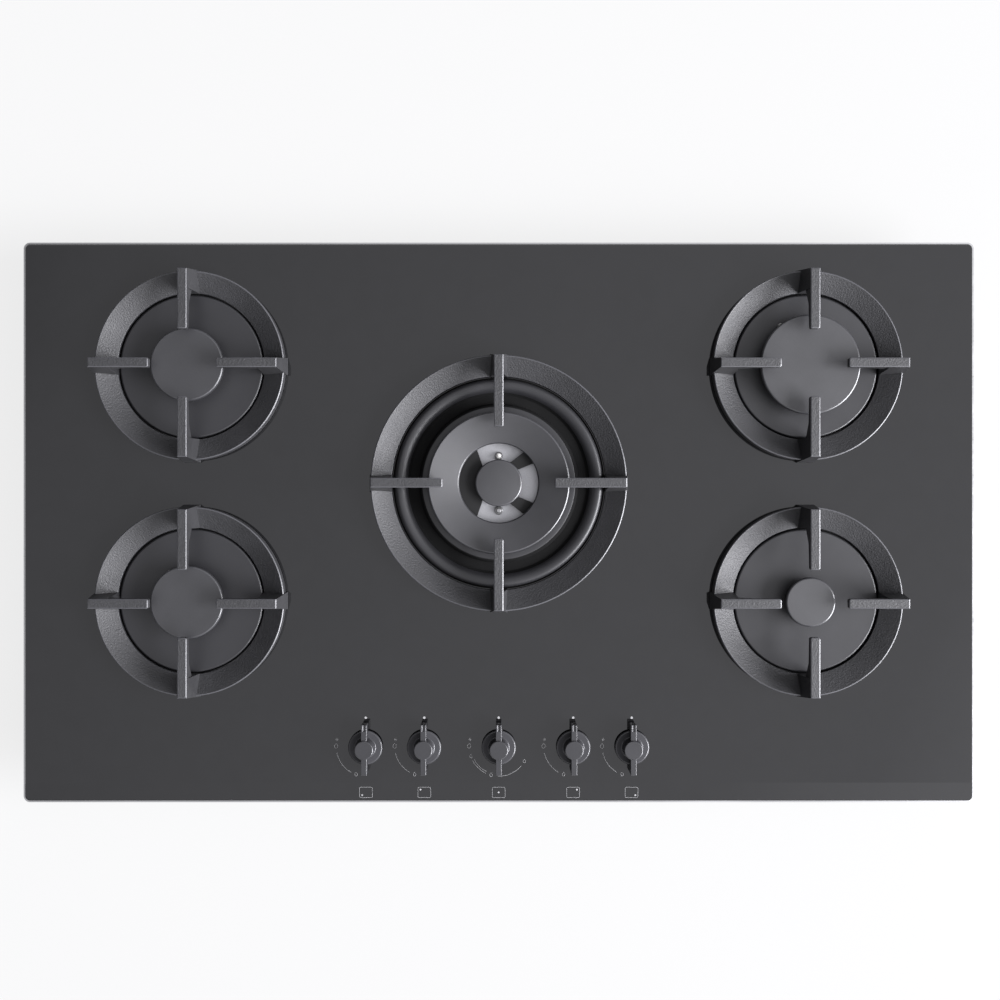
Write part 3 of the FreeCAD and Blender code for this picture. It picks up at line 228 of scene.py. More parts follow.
def dome(radius, height, rise):
    """Outline points over a slightly domed top, from radius to near its middle at height."""
    return [(radius * share, height - rise * share ** 2) for share in (0.85, 0.68, 0.5, 0.32, 0.15)]


def sloped_edge(radius, height, wall=0.9, width=1.0):
    """Outline points from a vertical wall at radius over a gentle slope to a flat top at height."""
    inset, drop = 0.4, width / 2
    return [(radius, height - drop - wall), (radius - inset, height - drop),
            (radius - inset - width, height)]


# ---------------------------------------------------------------- burner dishes and caps
def side_dish(name):
    node = "burner_dish_" + name
    x, y = centre(node)
    reach, height, foot = half_width(node) + 0.9, top(node), 68.7
    hole = half_width("burner_cap_" + name) - 9.0
    sheet, rounding = 1.8, 1.5
    piece = turned("dish_" + name, x, y, [
        (hole, height - sheet), (reach - 2 * sheet, height - sheet),
        (reach - sheet, height - 2 * sheet), (reach - sheet, GLASS), (foot, GLASS),
        (foot, GLASS + 0.4), (reach, GLASS + 0.4),
        (reach, height - rounding), (reach - 0.35 * rounding, height - 0.3 * rounding),
        (reach - rounding, height), (hole, height)])
    ease_edges(0.4, DISH_LOOKS + (CHANNEL_PAINTED_SHADE,), trim=1)
    # The thin flange beyond the rim, out towards the ring, gets the near-black channel colour:
    # painted shade in the gap.
    for face in piece.data.polygons:
        if math.dist(face.center.xy / MM, (x, y)) > reach + 0.1:
            face.material_index = 2
    finish(piece, "hob", "black_enamel", node)


def wok_dish():
    """The large burner's deep dish: a round outer rim, a channel painted near-black as shade and a
    collar inside it.
    """
    node = "burner_dish_wok"
    x, y = centre(node)
    reach, foot, sheet = 97.9, 99.9, 1.8
    crest_r, crest, outer, inner = 93.9, GLASS + 9.0, 4.0, 11.0
    collar_r, collar_in, collar_top, shoulder = 73.8, 66.5, top(node), 3.0
    floor = GLASS + sheet
    outline = [(reach - 3.0, GLASS), (foot, GLASS), (foot, GLASS + 0.5), (reach, GLASS + 0.5)]
    outline += arc_points(crest_r, crest - outer, outer, 0.0, 90.0, 6)
    outline += arc_points(crest_r, crest - inner, inner, 90.0, 140.0, 8)[1:]
    outline += [(84.2, floor + 1.2), (83.0, floor), (collar_r + 1.2, floor)]
    outline += arc_points(collar_r - shoulder, collar_top - shoulder, shoulder, 0.0, 90.0, 5)
    outline += [(collar_in, collar_top), (collar_in, GLASS), (84.2, GLASS),
                (crest_r - 4.0, crest - 3.6), (crest_r, crest - sheet)]
    piece = turned("dish_wok", x, y, outline, sides=160)
    ease_edges(0.3, (DISH_ENAMEL, CHANNEL_PAINTED_SHADE), angle=40.0)
    # The channel floor, the collar's outer shoulder and the thin flange beyond the rim get the
    # near-black channel colour: painted shade.
    for face in piece.data.polygons:
        spread = math.dist(face.center.xy / MM, (x, y))
        face.material_index = int(collar_r - 1.8 < spread < 85.0 or spread > reach + 0.1)
    finish(piece, "hob", "black_enamel", node)


def side_cap(name):
    node = "burner_cap_" + name
    x, y = centre(node)
    reach, height = half_width(node), top(node)
    low = height - 6.0
    lip = reach - 6.3
    piece = turned("cap_" + name, x, y, [
        (lip - 3.0, low), (lip - 3.0, low - 3.0), (lip, low - 3.0), (lip, low), (reach - 0.7, low),
        (reach, low + 0.7)] + sloped_edge(reach, height), closed=False)
    ease_edges(0.25, CAP_LOOKS, segments=2)
    rub_and_sheen_edge(lambda place, normal: place.z > height - 1.5 and 0.3 < normal.z < 0.97)
    finish(piece, "cap_" + name, "black_enamel", node)


def wok_caps():
    x, y = centre("burner_cap_wok")
    reach, height, hole = half_width("burner_cap_wok"), top("burner_cap_wok"), 36.8
    seat, fall = height - 4.0, 7.0
    lip = reach - 6.3
    piece = turned("cap_wok", x, y, [
        (hole, seat - fall), (hole + 7.0, seat - fall), (lip - 3.0, seat - 3.0), (lip, seat - 3.0),
        (lip, seat), (reach - 0.5, seat), (reach, seat + 0.5)] + sloped_edge(reach, height)
        + [(hole + 1.0, height - fall + 0.1), (hole, height - fall - 0.9)], sides=160)
    ease_edges(0.3, CAP_LOOKS, segments=2)
    rub_and_sheen_edge(lambda place, normal: math.dist(place.xy, (x, y)) > reach - 2.0
             and 0.3 < normal.z < 0.97)
    finish(piece, "cap_wok", "black_enamel", "burner_cap_wok")
    node = "burner_cap_wok_inner"
    reach, height = half_width(node), top(node)
    low = height - 4.5
    piece = turned("cap_wok_inner", x, y, [
        (reach - 9.3, low), (reach - 9.3, low - 3.0), (reach - 6.3, low - 3.0), (reach - 6.3, low),
        (reach - 0.5, low), (reach, low + 0.5)] + sloped_edge(reach, height - 1.0, 0.6, 0.8)
        + dome(reach - 1.2, height, 1.0), sides=96, closed=False)
    ease_edges(0.25, CAP_LOOKS, segments=2)
    rub_and_sheen_edge(lambda place, normal: math.dist(place.xy, (x, y)) > reach - 1.4
             and 0.3 < normal.z < 0.97)
    finish(piece, "cap_wok_inner", "black_enamel", node)


def sensor_seats():
    """Sleeves and collars round the sparker and the flame probe in the large burner's windows."""
    x, y = centre("burner_cap_wok")
    low, out = GLASS + 7.0, 25.6
    seats = (("spark_collar", out, (3.8, 2.2), (3.2, 3.0), "collar_steel"),
             ("spark_sleeve", out, (2.3, 6.0), (1.9, 6.4), "ceramic"),
             ("probe_collar", -out, (4.0, 2.4), (3.4, 3.0), "collar_steel"),
             ("probe_step", -out, (2.6, 5.6), (2.0, 6.2), "sensor_steel"))
    for name, side, (wide, shoulder), (narrow, high), look in seats:
        outline = [(wide, low), (wide, low + shoulder), (narrow, low + high)]
        piece = turned(name, x, y + side, outline, sides=48, closed=False)
        ease_edges(0.2, (FINISHES[look],))
        finish(piece, "hob", look if look == "ceramic" else "sensor_steel")


# ---------------------------------------------------------------- pan supports
FINGER_WIDTH = 8.7


def finger_bar(tip_r, brace, root, high):
    """The bar of a finger along +X, round at its tip and deeper towards its root."""
    width, overlap, tip_rounding = FINGER_WIDTH, 4.0, 1.6
    tip_depth, brace_depth, root_depth = 7.5, 9.5, 24.0
    length = root + overlap - tip_r
    begin()
    bpy.ops.mesh.primitive_plane_add(size=MM, location=((tip_r + length / 2) * MM, 0.0, high * MM))
    bpy.context.object.scale = (length, width, 1.0)
    bpy.ops.object.transform_apply(location=True, scale=True)
    edit()
    bpy.ops.mesh.bisect(plane_co=(brace * MM, 0.0, 0.0), plane_no=(1.0, 0.0, 0.0))
    pick(lambda place, normal: place.x < tip_r + 0.1, "verts")
    bpy.ops.mesh.bevel(offset=tip_rounding * MM, segments=4, affect="VERTICES")
    bpy.ops.mesh.select_all(action="SELECT")
    bpy.ops.mesh.extrude_region_move()
    move(z=-tip_depth)
    pick(lambda place, normal: place.x > brace - 0.1 and place.z < high - 0.1, "verts")
    move(z=tip_depth - brace_depth)
    pick(lambda place, normal: place.x > root and place.z < high - 0.1, "verts")
    move(z=brace_depth - root_depth)
    close_mesh()
    return bpy.context.object


def finger_root(root, foot, finger_r, low, high):
    """The wedge that stands on the ring: wide at its foot, as wide as the bar at its top."""
    width, root_width = FINGER_WIDTH, 16.5
    begin()
    bpy.ops.mesh.primitive_cube_add(size=MM, location=((root + foot) / 2 * MM, 0.0,
                                                       (low + high) / 2 * MM))
    bpy.context.object.scale = (foot - root, root_width, high - low)
    bpy.ops.object.transform_apply(location=True, scale=True)
    edit("DESELECT")
    pick(lambda place, normal: normal.z > 0.9)
    bpy.ops.transform.resize(value=(1.0, width / root_width, 1.0))
    pick(lambda place, normal: place.x > foot - 0.1 and place.z > high - 0.1, "verts")
    move(x=finger_r - foot)
    close_mesh()
    return bpy.context.object


def support_finger(ring_r, bore_r, finger_r, tip_r, low, high):
    """One cast finger along +X: its bar and its root in one piece."""
    root = bore_r - 0.6
    bar = finger_bar(tip_r, bore_r - 14.0, root, high)
    wedge = finger_root(root, ring_r + 1.8, finger_r, low, high)
    apply_modifier("BOOLEAN", operation="UNION", object=bar, solver="EXACT")
    bpy.data.objects.remove(bar)
    edit()
    bpy.ops.mesh.dissolve_limited(angle_limit=math.radians(1.0))
    close_mesh()
    return wedge


def support(ring_r, bore_r, finger_r, tip_r, low, high):
    """A cast pan support about the origin: a low conical ring and four fingers."""
    ring_top, slope = GLASS + 15.0, 0.42
    ring = turned("support", 0.0, 0.0, [
        (ring_r, low), (ring_r, ring_top - 0.55), (ring_r - 1.0, ring_top), (bore_r, GLASS + 5.5),
        (bore_r, low), (bore_r + 3.0, low), (ring_r - 3.6, ring_top - 5.0), (ring_r - 3.6, low)],
        sides=160)
    ease_edges(0.3, IRON_LOOKS, segments=2)
    rub_and_sheen_edge(lambda place, normal: math.hypot(place.x, place.y) > ring_r - 1.0 and normal.z > 0.3)
    support_finger(ring_r, bore_r, finger_r, tip_r, low, high - slope)
    edit("DESELECT")
    pick(lambda place, normal: normal.z > 0.99 and place.z > high - slope - 0.1)
    bpy.ops.mesh.inset(thickness=2 * slope * MM, depth=slope * MM)
    bpy.ops.object.mode_set(mode="OBJECT")
    finger = bpy.context.object
    ease_edges(0.35, IRON_LOOKS, segments=2)
    rub_and_sheen_edge(lambda place, normal: place.z > high - slope and 0.6 < normal.z < 0.97)
    fingers = [finger] + [copy_piece(finger, "finger", turn=90.0 * step) for step in (1, 2, 3)]
    return joined([ring] + fingers, "support")


def supports():
    """The five pan supports, copied from one of each size."""
    low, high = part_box("grate_rear_left")[0].z / MM, top("grate_rear_left")
    side = support(ring_r=88.7, bore_r=69.2, finger_r=86.3, tip_r=31.0, low=low, high=high)
    wok = support(ring_r=120.0, bore_r=100.7, finger_r=117.3, tip_r=51.4, low=low, high=high)
    for name in SIDE_BURNERS + ("wok",):
        node = "grate_" + name
        source = wok if name == "wok" else side
        piece = copy_piece(source, "pan_support_" + name, *centre(node))
        finish(piece, "support_" + name, "cast_iron", node)
    for source in (side, wok):
        bpy.data.objects.remove(source)


# ---------------------------------------------------------------- knobs
def knob_blade(length, width, low, high):
    """The long blade across a knob, with the pointer groove sunk into its rear end."""
    groove, groove_width, depth = 6.0, 1.9, 0.8
    begin()
    bpy.ops.mesh.primitive_plane_add(size=MM, location=(0.0, 0.0, low * MM))
    bpy.context.object.scale = (width, length, 1.0)
    bpy.ops.object.transform_apply(location=True, scale=True)
    cuts = [((-groove_width / 2, 0.0), (1.0, 0.0, 0.0)), ((groove_width / 2, 0.0), (1.0, 0.0, 0.0)),
            ((0.0, length / 2 - groove), (0.0, 1.0, 0.0))]
    edit()
    for (x, y), normal in cuts:
        bpy.ops.mesh.select_all(action="SELECT")
        bpy.ops.mesh.bisect(plane_co=(x * MM, y * MM, low * MM), plane_no=normal)
    bpy.ops.mesh.select_all(action="SELECT")
    bpy.ops.mesh.extrude_region_move()
    move(z=high - depth - low)
    pick(lambda place, normal: place.z > high - depth - 0.1
         and not (abs(place.x) < groove_width / 2 and place.y > length / 2 - groove))
    bpy.ops.mesh.extrude_region_move()
    move(z=depth)
    close_mesh()
    ease_edges(0.45, KNOB_LOOKS)
    return bpy.context.object


def knobs():
    """The five knobs, copied from one."""
    node = "knob_wok"
    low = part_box(node)[0].z / MM
    skirt_r, hub_r, hub_top = half_width(node), 8.9, top(node)
    skirt_top = low + 1.8
    skirt = turned("knob", 0.0, 0.0, [
        (skirt_r - 1.6, low), (skirt_r, low), (skirt_r, skirt_top - 0.7),
        (skirt_r - 1.0, skirt_top), (hub_r + 1.0, skirt_top), (hub_r, skirt_top + 1.2),
        (hub_r, hub_top - 0.7), (hub_r - 0.7, hub_top)], sides=96, closed=False)
    ease_edges(0.35, SKIRT_LOOKS)
    for face in skirt.data.polygons:
        if math.hypot(face.center.x, face.center.y) / MM < hub_r and face.normal.z > 0.2:
            face.material_index = 1 if face.normal.z > 0.97 else 2
    blade = knob_blade(47.0, 5.3, low, hub_top - 1.4)
    source = joined([skirt, blade], "knob")
    for name in TAPS:
        node = "knob_" + name
        piece = copy_piece(source, "grip_" + name, *centre(node))
        finish(piece, "control_" + name, "knob_plastic", node)
    bpy.data.objects.remove(source)


def tap_springs():
    """The return spring of each tap, which shortens from its seat as the knob is pressed; here each
    is cut out of the frame's springs and stays fixed to the hob.
    """
    source = frame["nodes"]["tap_springs"]
    travel, between_taps = 3.0, 20.0
    for name in TAPS:
        x, y = centre("tap_spindle_" + name)
        begin()
        piece = bpy.data.objects.new("return_spring_" + name, source.data.copy())
        bpy.context.scene.collection.objects.link(piece)
        piece.select_set(True)
        bpy.context.view_layer.objects.active = piece
        edit("DESELECT")
        pick(lambda place, normal: abs(place.x - x) > between_taps, "verts")
        bpy.ops.mesh.delete(type="VERT")
        close_mesh()
        finish(piece, "hob", "sensor_steel", "tap_springs")
        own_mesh(piece)


# ---------------------------------------------------------------- printed signs
def glass_height(y):
    """Height of the glass at a place front to back: the front strip is bevelled."""
    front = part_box("glass_top")[0].y / MM
    strip, drop = 17.0, 2.4
    return GLASS - drop * max(0.0, 1.0 - (y - front) / strip)


def ring_line(x, y, radius, line):
    """A flat printed ring; line is its width inwards."""
    begin()
    bpy.ops.mesh.primitive_circle_add(vertices=32, radius=radius * MM, fill_type="NOTHING",
                                      location=(x * MM, y * MM, 0.0))
    edit()
    bpy.ops.mesh.extrude_region_move()
    share = (radius - line) / radius
    bpy.ops.transform.resize(value=(share, share, 1.0))
    bpy.ops.object.mode_set(mode="OBJECT")
    return settle("line")


def dot(x, y, radius):
    """A flat printed dot."""
    begin()
    bpy.ops.mesh.primitive_circle_add(vertices=24, radius=radius * MM, fill_type="NGON",
                                      location=(x * MM, y * MM, 0.0))
    return settle("dot")


def flame(x, y, size, line):
    """A drop outline: a ring whose upper side is drawn out to a tip."""
    piece = ring_line(x, y, size / 2, line)
    edit("DESELECT")
    middle = (x * MM, y * MM, 0.0)
    for start, across, up in ((0.02, 1.0, 1.9), (0.45, 0.6, 1.0), (0.72, 0.4, 1.0)):
        pick(lambda place, normal: place.y > y + start * size, "verts")
        bpy.ops.transform.resize(value=(across, up, 1.0), center_override=middle)
    bpy.ops.object.mode_set(mode="OBJECT")
    return piece


def arc_line(x, y, radius, first, last, line):
    """A flat printed arc about a knob, from first to last degrees anticlockwise."""
    begin()
    bpy.ops.mesh.primitive_circle_add(vertices=180, radius=radius * MM, fill_type="NOTHING",
                                      location=(x * MM, y * MM, 0.0))
    bpy.ops.object.transform_apply(location=True)
    edit("DESELECT")

    def outside(place, normal):
        angle = math.degrees(math.atan2(place.y - y, place.x - x)) % 360.0
        return not first <= angle <= last

    pick(outside, "verts")
    bpy.ops.mesh.delete(type="VERT")
    bpy.ops.mesh.select_all(action="SELECT")
    bpy.ops.mesh.extrude_region_move()
    share = (radius - line) / radius
    bpy.ops.transform.resize(value=(share, share, 1.0), center_override=(x * MM, y * MM, 0.0))
    bpy.ops.object.mode_set(mode="OBJECT")
    return settle("arc")


def spark(x, y, size, line):
    """Three short strokes crossing in a star."""
    strokes = []
    for turn in (0.0, 60.0, 120.0):
        begin()
        bpy.ops.mesh.primitive_plane_add(size=MM)
        bpy.context.object.scale = (size, line, 1.0)
        bpy.context.object.rotation_euler.z = math.radians(turn)
        bpy.context.object.location = (x * MM, y * MM, 0.0)
        strokes.append(settle("stroke"))
    return joined(strokes, "spark")


def square_line(x, y, width, depth, line):
    """A flat printed frame with rounded corners."""
    begin()
    bpy.ops.mesh.primitive_plane_add(size=MM)
    bpy.context.object.scale = (width, depth, 1.0)
    bpy.context.object.location = (x * MM, y * MM, 0.0)
    settle("square")
    edit()
    bpy.ops.mesh.bevel(offset=1.3 * MM, segments=5, affect="VERTICES")
    bpy.ops.mesh.select_all(action="SELECT")
    bpy.ops.mesh.inset(thickness=line * MM, depth=0.0)
    bpy.ops.mesh.delete(type="FACE")
    bpy.ops.object.mode_set(mode="OBJECT")
    return bpy.context.object


def around(x, y, radius, angle):
    """The place at a distance and an angle in degrees from a knob's middle."""
    return x + radius * math.cos(math.radians(angle)), y + radius * math.sin(math.radians(angle))


def printed_signs():
    """Pointer dots, sparks, flames and arcs round the knobs, and a burner plan below each."""
    reach, line, ink, plan_y = 28.0, 0.22, 0.05, -255.5
    marks = []
    for name in TAPS:
        x, y = centre("tap_spindle_" + name)
        marks.append(dot(x, y + 27.4, 1.15))
        marks.append(spark(*around(x, y, reach, 166.0), 3.1, line))
        marks.append(flame(*around(x, y, reach, 179.5), 3.4, line))
        if name == "wok":
            flames, arcs = (200.0, 255.0, 330.0), ((0.0, 206.0, 245.0), (1.8, 207.0, 244.0),
                                                   (0.0, 267.0, 321.0))
        else:
            flames, arcs = (251.0,), ((0.0, 191.0, 240.5),)
        marks += [flame(*around(x, y, reach, angle), 2.6, line) for angle in flames]
        marks += [arc_line(x, y, reach - inset, first, last, line) for inset, first, last in arcs]
    burner_dots = {"front_left": (-1, -1), "rear_left": (-1, 1), "wok": (0, 0),
                   "rear_right": (1, 1), "front_right": (1, -1)}
    for name, (side, row) in burner_dots.items():
        x, y = centre("tap_spindle_" + name)[0], plan_y
        marks.append(square_line(x, y, 12.3, 10.3, line))
        marks.append(dot(x + 3.6 * side, y + 2.7 * row, 0.85))
    piece = joined(marks, "printed_signs")
    for vertex in piece.data.vertices:
        vertex.co.z = (glass_height(vertex.co.y / MM) + ink) * MM
    apply_modifier("SOLIDIFY", thickness=ink * MM, offset=-1.0)
    piece.data.materials.append(PRINT)
    finish(piece, "hob", "ceramic")


# ---------------------------------------------------------------- effects shared by materials
def new_group(name, inputs, outputs):
    group = bpy.data.node_groups.new(name, "ShaderNodeTree")
    for label, kind, value in inputs:
        socket = group.interface.new_socket(label, in_out="INPUT", socket_type=kind)
        if value is not None:
            socket.default_value = value
    for label, kind in outputs:
        group.interface.new_socket(label, in_out="OUTPUT", socket_type=kind)
    return group, group.nodes.new("NodeGroupInput"), group.nodes.new("NodeGroupOutput")


def noise(nodes, links, vector, scale, detail):
    node = nodes.new("ShaderNodeTexNoise")
    node.inputs["Detail"].default_value = detail
    node.inputs["Roughness"].default_value = 0.55
    links.new(vector, node.inputs["Vector"])
    links.new(scale, node.inputs["Scale"])
    return node.outputs["Fac"]


def remap(nodes, links, value, low, high, to_low, to_high):
    node = nodes.new("ShaderNodeMapRange")
    links.new(value, node.inputs["Value"])
    for label, number in (("From Min", low), ("From Max", high), ("To Min", to_low),
                          ("To Max", to_high)):
        node.inputs[label].default_value = number
    return node.outputs["Result"]


def grain_group():
    """Fine surface grain: a height for the bump and a value that varies tone and roughness."""
    group, given, result = new_group(
        "grain", [("Vector", "NodeSocketVector", None), ("Scale", "NodeSocketFloat", 900.0),
                  ("Patch Scale", "NodeSocketFloat", 40.0)],
        [("Height", "NodeSocketFloat"), ("Tone", "NodeSocketFloat")])
    nodes, links = group.nodes, group.links
    fine = noise(nodes, links, given.outputs["Vector"], given.outputs["Scale"], 2.0)
    patch = noise(nodes, links, given.outputs["Vector"], given.outputs["Patch Scale"], 3.0)
    links.new(fine, result.inputs["Height"])
    both = nodes.new("ShaderNodeMix")
    both.inputs["Factor"].default_value = 0.45
    links.new(fine, both.inputs["A"])
    links.new(patch, both.inputs["B"])
    links.new(both.outputs["Result"], result.inputs["Tone"])
    return group


GRAIN = grain_group()


def material(name, dark, light, rough, metallic=0.0, grain=900.0, patch=40.0, bump=0.1,
             relief_depth=0.2, stretch=(1.0, 1.0, 1.0), ior=1.5):
    """A finish whose tone, roughness and bump follow the shared grain."""
    made = bpy.data.materials.new(name)
    made.use_nodes = True
    nodes, links = made.node_tree.nodes, made.node_tree.links
    shader = nodes["Principled BSDF"]
    shader.inputs["Metallic"].default_value = metallic
    shader.inputs["IOR"].default_value = ior
    coordinates = nodes.new("ShaderNodeTexCoord")
    mapping = nodes.new("ShaderNodeMapping")
    mapping.inputs["Scale"].default_value = stretch
    links.new(coordinates.outputs["Object"], mapping.inputs["Vector"])
    texture = nodes.new("ShaderNodeGroup")
    texture.node_tree = GRAIN
    texture.inputs["Scale"].default_value = grain
    texture.inputs["Patch Scale"].default_value = patch
    links.new(mapping.outputs["Vector"], texture.inputs["Vector"])
    colours = nodes.new("ShaderNodeMix")
    colours.data_type = "RGBA"
    colours.inputs["A"].default_value = (*dark, 1.0)
    colours.inputs["B"].default_value = (*light, 1.0)
    share = remap(nodes, links, texture.outputs["Tone"], 0.3, 0.7, 0.0, 1.0)
    links.new(share, colours.inputs["Factor"])
    links.new(colours.outputs["Result"], shader.inputs["Base Color"])
    links.new(remap(nodes, links, texture.outputs["Tone"], 0.3, 0.7, rough[0], rough[1]),
              shader.inputs["Roughness"])
    if bump:
        relief = nodes.new("ShaderNodeBump")
        relief.inputs["Strength"].default_value = bump
        relief.inputs["Distance"].default_value = relief_depth * MM
        links.new(texture.outputs["Height"], relief.inputs["Height"])
        links.new(relief.outputs["Normal"], shader.inputs["Normal"])
    return made


def grey(value, blue=1.0):
    return value, value, value * blue


# ---------------------------------------------------------------- finishes
CAST_IRON = material("cast_iron", grey(0.022, 1.08), grey(0.038, 1.08), (0.48, 0.62),
                     grain=700.0, bump=0.9, relief_depth=0.5, ior=1.75)
# Near-black and matte: painted shade for the deep channel of the large dish, its collar's shoulder
# and the thin flanges in the gaps round the dishes.
CHANNEL_PAINTED_SHADE = material("channel_painted_shade", grey(0.008), grey(0.013), (0.85, 0.95), grain=900.0,
                           bump=0.5, ior=1.2)
CAP_ENAMEL = material("cap_enamel", grey(0.025, 1.1), grey(0.037, 1.1), (0.42, 0.5),
                      grain=1500.0, bump=0.25, ior=1.78)
DISH_ENAMEL = material("dish_enamel", grey(0.017, 1.12), grey(0.023, 1.12), (0.38, 0.45),
                       grain=1500.0, bump=0.12, ior=1.65)
KNOB_PLASTIC = material("knob_plastic", grey(0.027, 1.1), grey(0.036, 1.1), (0.4, 0.48),
                        grain=1800.0, bump=0.15, ior=1.6)
# Each edge look is glossier and lighter than its body: the edges are worn, and their lighter tone
# is painted sheen that brings out the highlight lines.
IRON_LOOKS = (CAST_IRON, material("iron_edge", grey(0.06, 1.1), grey(0.09, 1.1), (0.34, 0.42),
                                  grain=1300.0, bump=0.2, ior=1.9))
CAP_LOOKS = (CAP_ENAMEL, material("cap_edge", grey(0.04, 1.1), grey(0.055, 1.1), (0.27, 0.34),
                                  grain=1500.0, bump=0.12, ior=1.9))
DISH_LOOKS = (DISH_ENAMEL, material("dish_edge", grey(0.02, 1.12), grey(0.03, 1.12), (0.26, 0.34),
                                    grain=1500.0, bump=0.1, ior=1.75))
KNOB_LOOKS = (KNOB_PLASTIC, material("knob_edge", grey(0.04, 1.1), grey(0.05, 1.1), (0.2, 0.27),
                                     grain=1800.0, bump=0.1, ior=1.9))
SKIRT_LOOKS = (material("knob_skirt", grey(0.05, 1.08), grey(0.062, 1.08), (0.6, 0.7), grain=1800.0,
                        bump=0.15, ior=1.35), KNOB_PLASTIC, KNOB_LOOKS[1])
PRINT = material("printed_grey", grey(0.42), grey(0.5), (0.5, 0.6), bump=0.0)
FINISHES = {
    "black_glass": material("black_glass", grey(0.004, 1.1), grey(0.006, 1.1), (0.02, 0.05),
                            grain=60.0, patch=6.0, bump=0.0, ior=1.73),
    "trim_steel": material("trim_steel", grey(0.55), grey(0.68), (0.25, 0.38), metallic=1.0,
                           grain=300.0, stretch=(0.05, 1.0, 1.0), bump=0.06),
    "seal_rubber": material("seal_rubber", grey(0.02), grey(0.03), (0.75, 0.85), bump=0.2),
    "pad_rubber": material("pad_rubber", grey(0.02), grey(0.03), (0.7, 0.8), bump=0.2),
    "pan_steel": material("pan_steel", grey(0.42, 1.02), grey(0.58, 1.02), (0.35, 0.5),
                          metallic=1.0, grain=120.0, patch=60.0, bump=0.03),
    "tube_steel": material("tube_steel", grey(0.5), grey(0.62), (0.28, 0.36), metallic=1.0,
                           bump=0.04),
    "brass": material("brass", (0.58, 0.42, 0.18), (0.72, 0.55, 0.27), (0.25, 0.35), metallic=1.0,
                      bump=0.04),
    "aluminium_tube": material("aluminium_tube", grey(0.65), grey(0.75), (0.3, 0.4), metallic=1.0,
                               bump=0.04),
    "cast_aluminium": material("cast_aluminium", grey(0.5, 1.03), grey(0.64, 1.03), (0.4, 0.52),
                               metallic=0.75, grain=700.0, bump=0.15),
    # The dark head web: dark of its own, and made darker still as painted shade under the cap.
    "dark_aluminium": material("dark_aluminium", grey(0.009), grey(0.015), (0.55, 0.7),
                               grain=1200.0, bump=0.2, ior=1.4),
    "collar_steel": material("collar_steel", grey(0.3), grey(0.4), (0.25, 0.35), metallic=1.0,
                             bump=0.05),
    "black_enamel": CAP_ENAMEL,
    "cast_iron": CAST_IRON,
    "ceramic": material("ceramic", (0.72, 0.71, 0.68), (0.8, 0.79, 0.76), (0.2, 0.28), bump=0.0),
    "sensor_steel": material("sensor_steel", grey(0.4), grey(0.5), (0.3, 0.4), metallic=1.0,
                             bump=0.05),
    "knob_plastic": KNOB_PLASTIC,
    "module_plastic": material("module_plastic", grey(0.1), grey(0.13), (0.5, 0.6), bump=0.1),
    "lead_silicone": material("lead_silicone", grey(0.6), grey(0.7), (0.55, 0.65), bump=0.05),
}


def dress_frame():
    """Gives each solid of the frame the finish that its record names."""
    for part in frame["record"]["subparts"]:
        node = frame["nodes"][part["node"]]
        node.data.materials.clear()
        node.data.materials.append(FINISHES[part["material_slot"]])


# ---------------------------------------------------------------- stage
def seen_directly(nodes, links, rays):
    """1 for the kinds of ray that are named, 0 for the light that lands on the piece."""
    ray = nodes.new("ShaderNodeLightPath")
    seen = ray.outputs[rays[0]]
    for label in rays[1:]:
        either = nodes.new("ShaderNodeMath")
        either.operation = "MAXIMUM"
        links.new(seen, either.inputs[0])
        links.new(ray.outputs[label], either.inputs[1])
        seen = either.outputs["Value"]
    return seen


def floor():
    """A plain pale floor just under the part; it glows to the eye but lights nothing."""
    below, base, glow = 0.0004, 0.1, 0.79
    begin()
    bpy.ops.mesh.primitive_plane_add(size=60.0, location=(0.0, 0.0, -below))
    piece = settle("floor")
    look = bpy.data.materials.new("pale_floor")
    look.use_nodes = True
    nodes, links = look.node_tree.nodes, look.node_tree.links
    shader = nodes["Principled BSDF"]
    shader.inputs["Base Color"].default_value = (*grey(base), 1.0)
    shader.inputs["Roughness"].default_value = 0.9
    shader.inputs["Emission Color"].default_value = (1.0, 1.0, 1.0, 1.0)
    seen = seen_directly(nodes, links, ("Is Camera Ray", "Is Glossy Ray", "Is Transmission Ray"))
    links.new(remap(nodes, links, seen, 0.0, 1.0, 0.0, glow), shader.inputs["Emission Strength"])
    piece.data.materials.append(look)


def area_light(name, place, width, depth, power):
    """A soft rectangular lamp aimed at the middle of the panel."""
    lamp = bpy.data.lights.new(name, "AREA")
    lamp.shape = "RECTANGLE"
    lamp.size, lamp.size_y, lamp.energy = width, depth, power
    lamp.color = grey(1.0, 1.05)
    holder = bpy.data.objects.new(name, lamp)
    bpy.context.scene.collection.objects.link(holder)
    holder.location = place
    aim = -holder.location.normalized()
    holder.rotation_euler = aim.to_track_quat("-Z", "Y").to_euler()


SKY_STRENGTH = 2.5
# Tone of the sky from the dark side (0) to the window side (1).
SKY_TONES = ((0.0, 0.01), (0.25, 0.05), (0.345, 0.235), (0.5, 0.31), (0.655, 0.37), (0.85, 0.9),
             (1.0, 1.0))


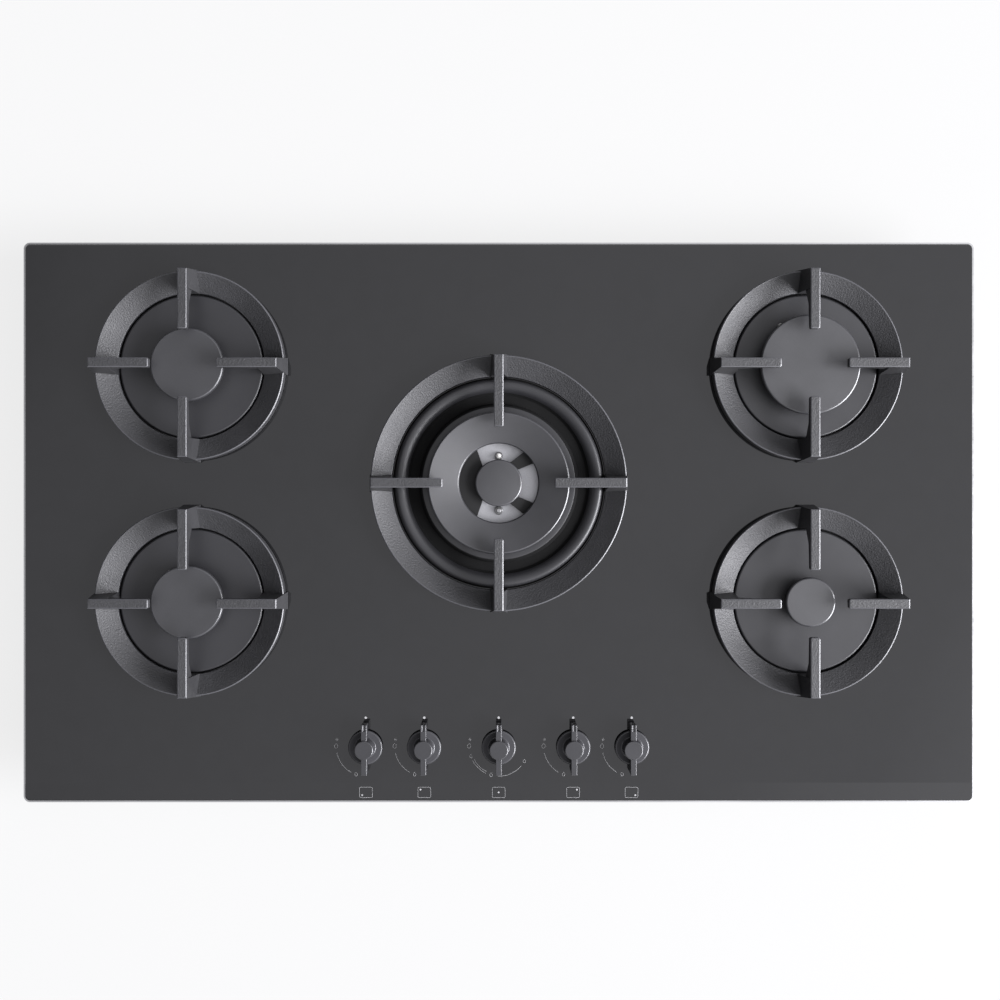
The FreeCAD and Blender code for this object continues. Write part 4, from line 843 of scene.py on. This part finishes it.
def world():
    """Studio surroundings, pale at the window side and dimmer low down; plain to the camera."""
    pale_tone, low_share = 0.95, 0.12
    sky = bpy.data.worlds.new("studio")
    bpy.context.scene.world = sky
    sky.use_nodes = True
    nodes, links = sky.node_tree.nodes, sky.node_tree.links
    coordinates = nodes.new("ShaderNodeTexCoord").outputs["Generated"]
    side = nodes.new("ShaderNodeVectorMath")
    side.operation = "DOT_PRODUCT"
    side.inputs[1].default_value = (0.93, -0.37, 0.0)
    links.new(coordinates, side.inputs[0])
    ramp = nodes.new("ShaderNodeValToRGB")
    stops = ramp.color_ramp.elements
    stops[0].position, stops[1].position = SKY_TONES[0][0], SKY_TONES[-1][0]
    stops[0].color, stops[1].color = [(*grey(tone, 1.05), 1.0) for tone in
                                      (SKY_TONES[0][1], SKY_TONES[-1][1])]
    for position, tone in SKY_TONES[1:-1]:
        stops.new(position).color = (*grey(tone, 1.05), 1.0)
    links.new(remap(nodes, links, side.outputs["Value"], -1.0, 1.0, 0.0, 1.0), ramp.inputs["Fac"])
    links.new(ramp.outputs["Color"], nodes["Background"].inputs["Color"])
    upward = nodes.new("ShaderNodeSeparateXYZ")
    links.new(coordinates, upward.inputs["Vector"])
    strength = remap(nodes, links, upward.outputs["Z"], 0.3, 0.92, low_share * SKY_STRENGTH,
                     SKY_STRENGTH)
    links.new(strength, nodes["Background"].inputs["Strength"])
    pale = nodes.new("ShaderNodeBackground")
    pale.inputs["Color"].default_value = (*grey(pale_tone), 1.0)
    shown = nodes.new("ShaderNodeMixShader")
    links.new(seen_directly(nodes, links, ("Is Camera Ray", "Is Transmission Ray")),
              shown.inputs["Fac"])
    links.new(nodes["Background"].outputs["Background"], shown.inputs[1])
    links.new(pale.outputs["Background"], shown.inputs[2])
    links.new(shown.outputs["Shader"], nodes["World Output"].inputs["Surface"])


def camera():
    """Straight above the panel, at the photograph's distance."""
    x, y, distance = 0.0012, 0.0212, 1.313
    eye = bpy.data.cameras.new("camera")
    eye.lens, eye.sensor_width = 50.0, 36.0
    holder = bpy.data.objects.new("camera", eye)
    bpy.context.scene.collection.objects.link(holder)
    holder.location = (x, y, GLASS * MM + distance)
    bpy.context.scene.camera = holder


dress_frame()
for burner in SIDE_BURNERS:
    side_dish(burner)
    side_cap(burner)
wok_dish()
wok_caps()
sensor_seats()
supports()
knobs()
tap_springs()
printed_signs()
floor()
area_light("window", place=(4.9, -1.4, 3.1), width=4.2, depth=3.6, power=760.0)
world()
camera()
bpy.context.scene.view_settings.view_transform = "Standard"
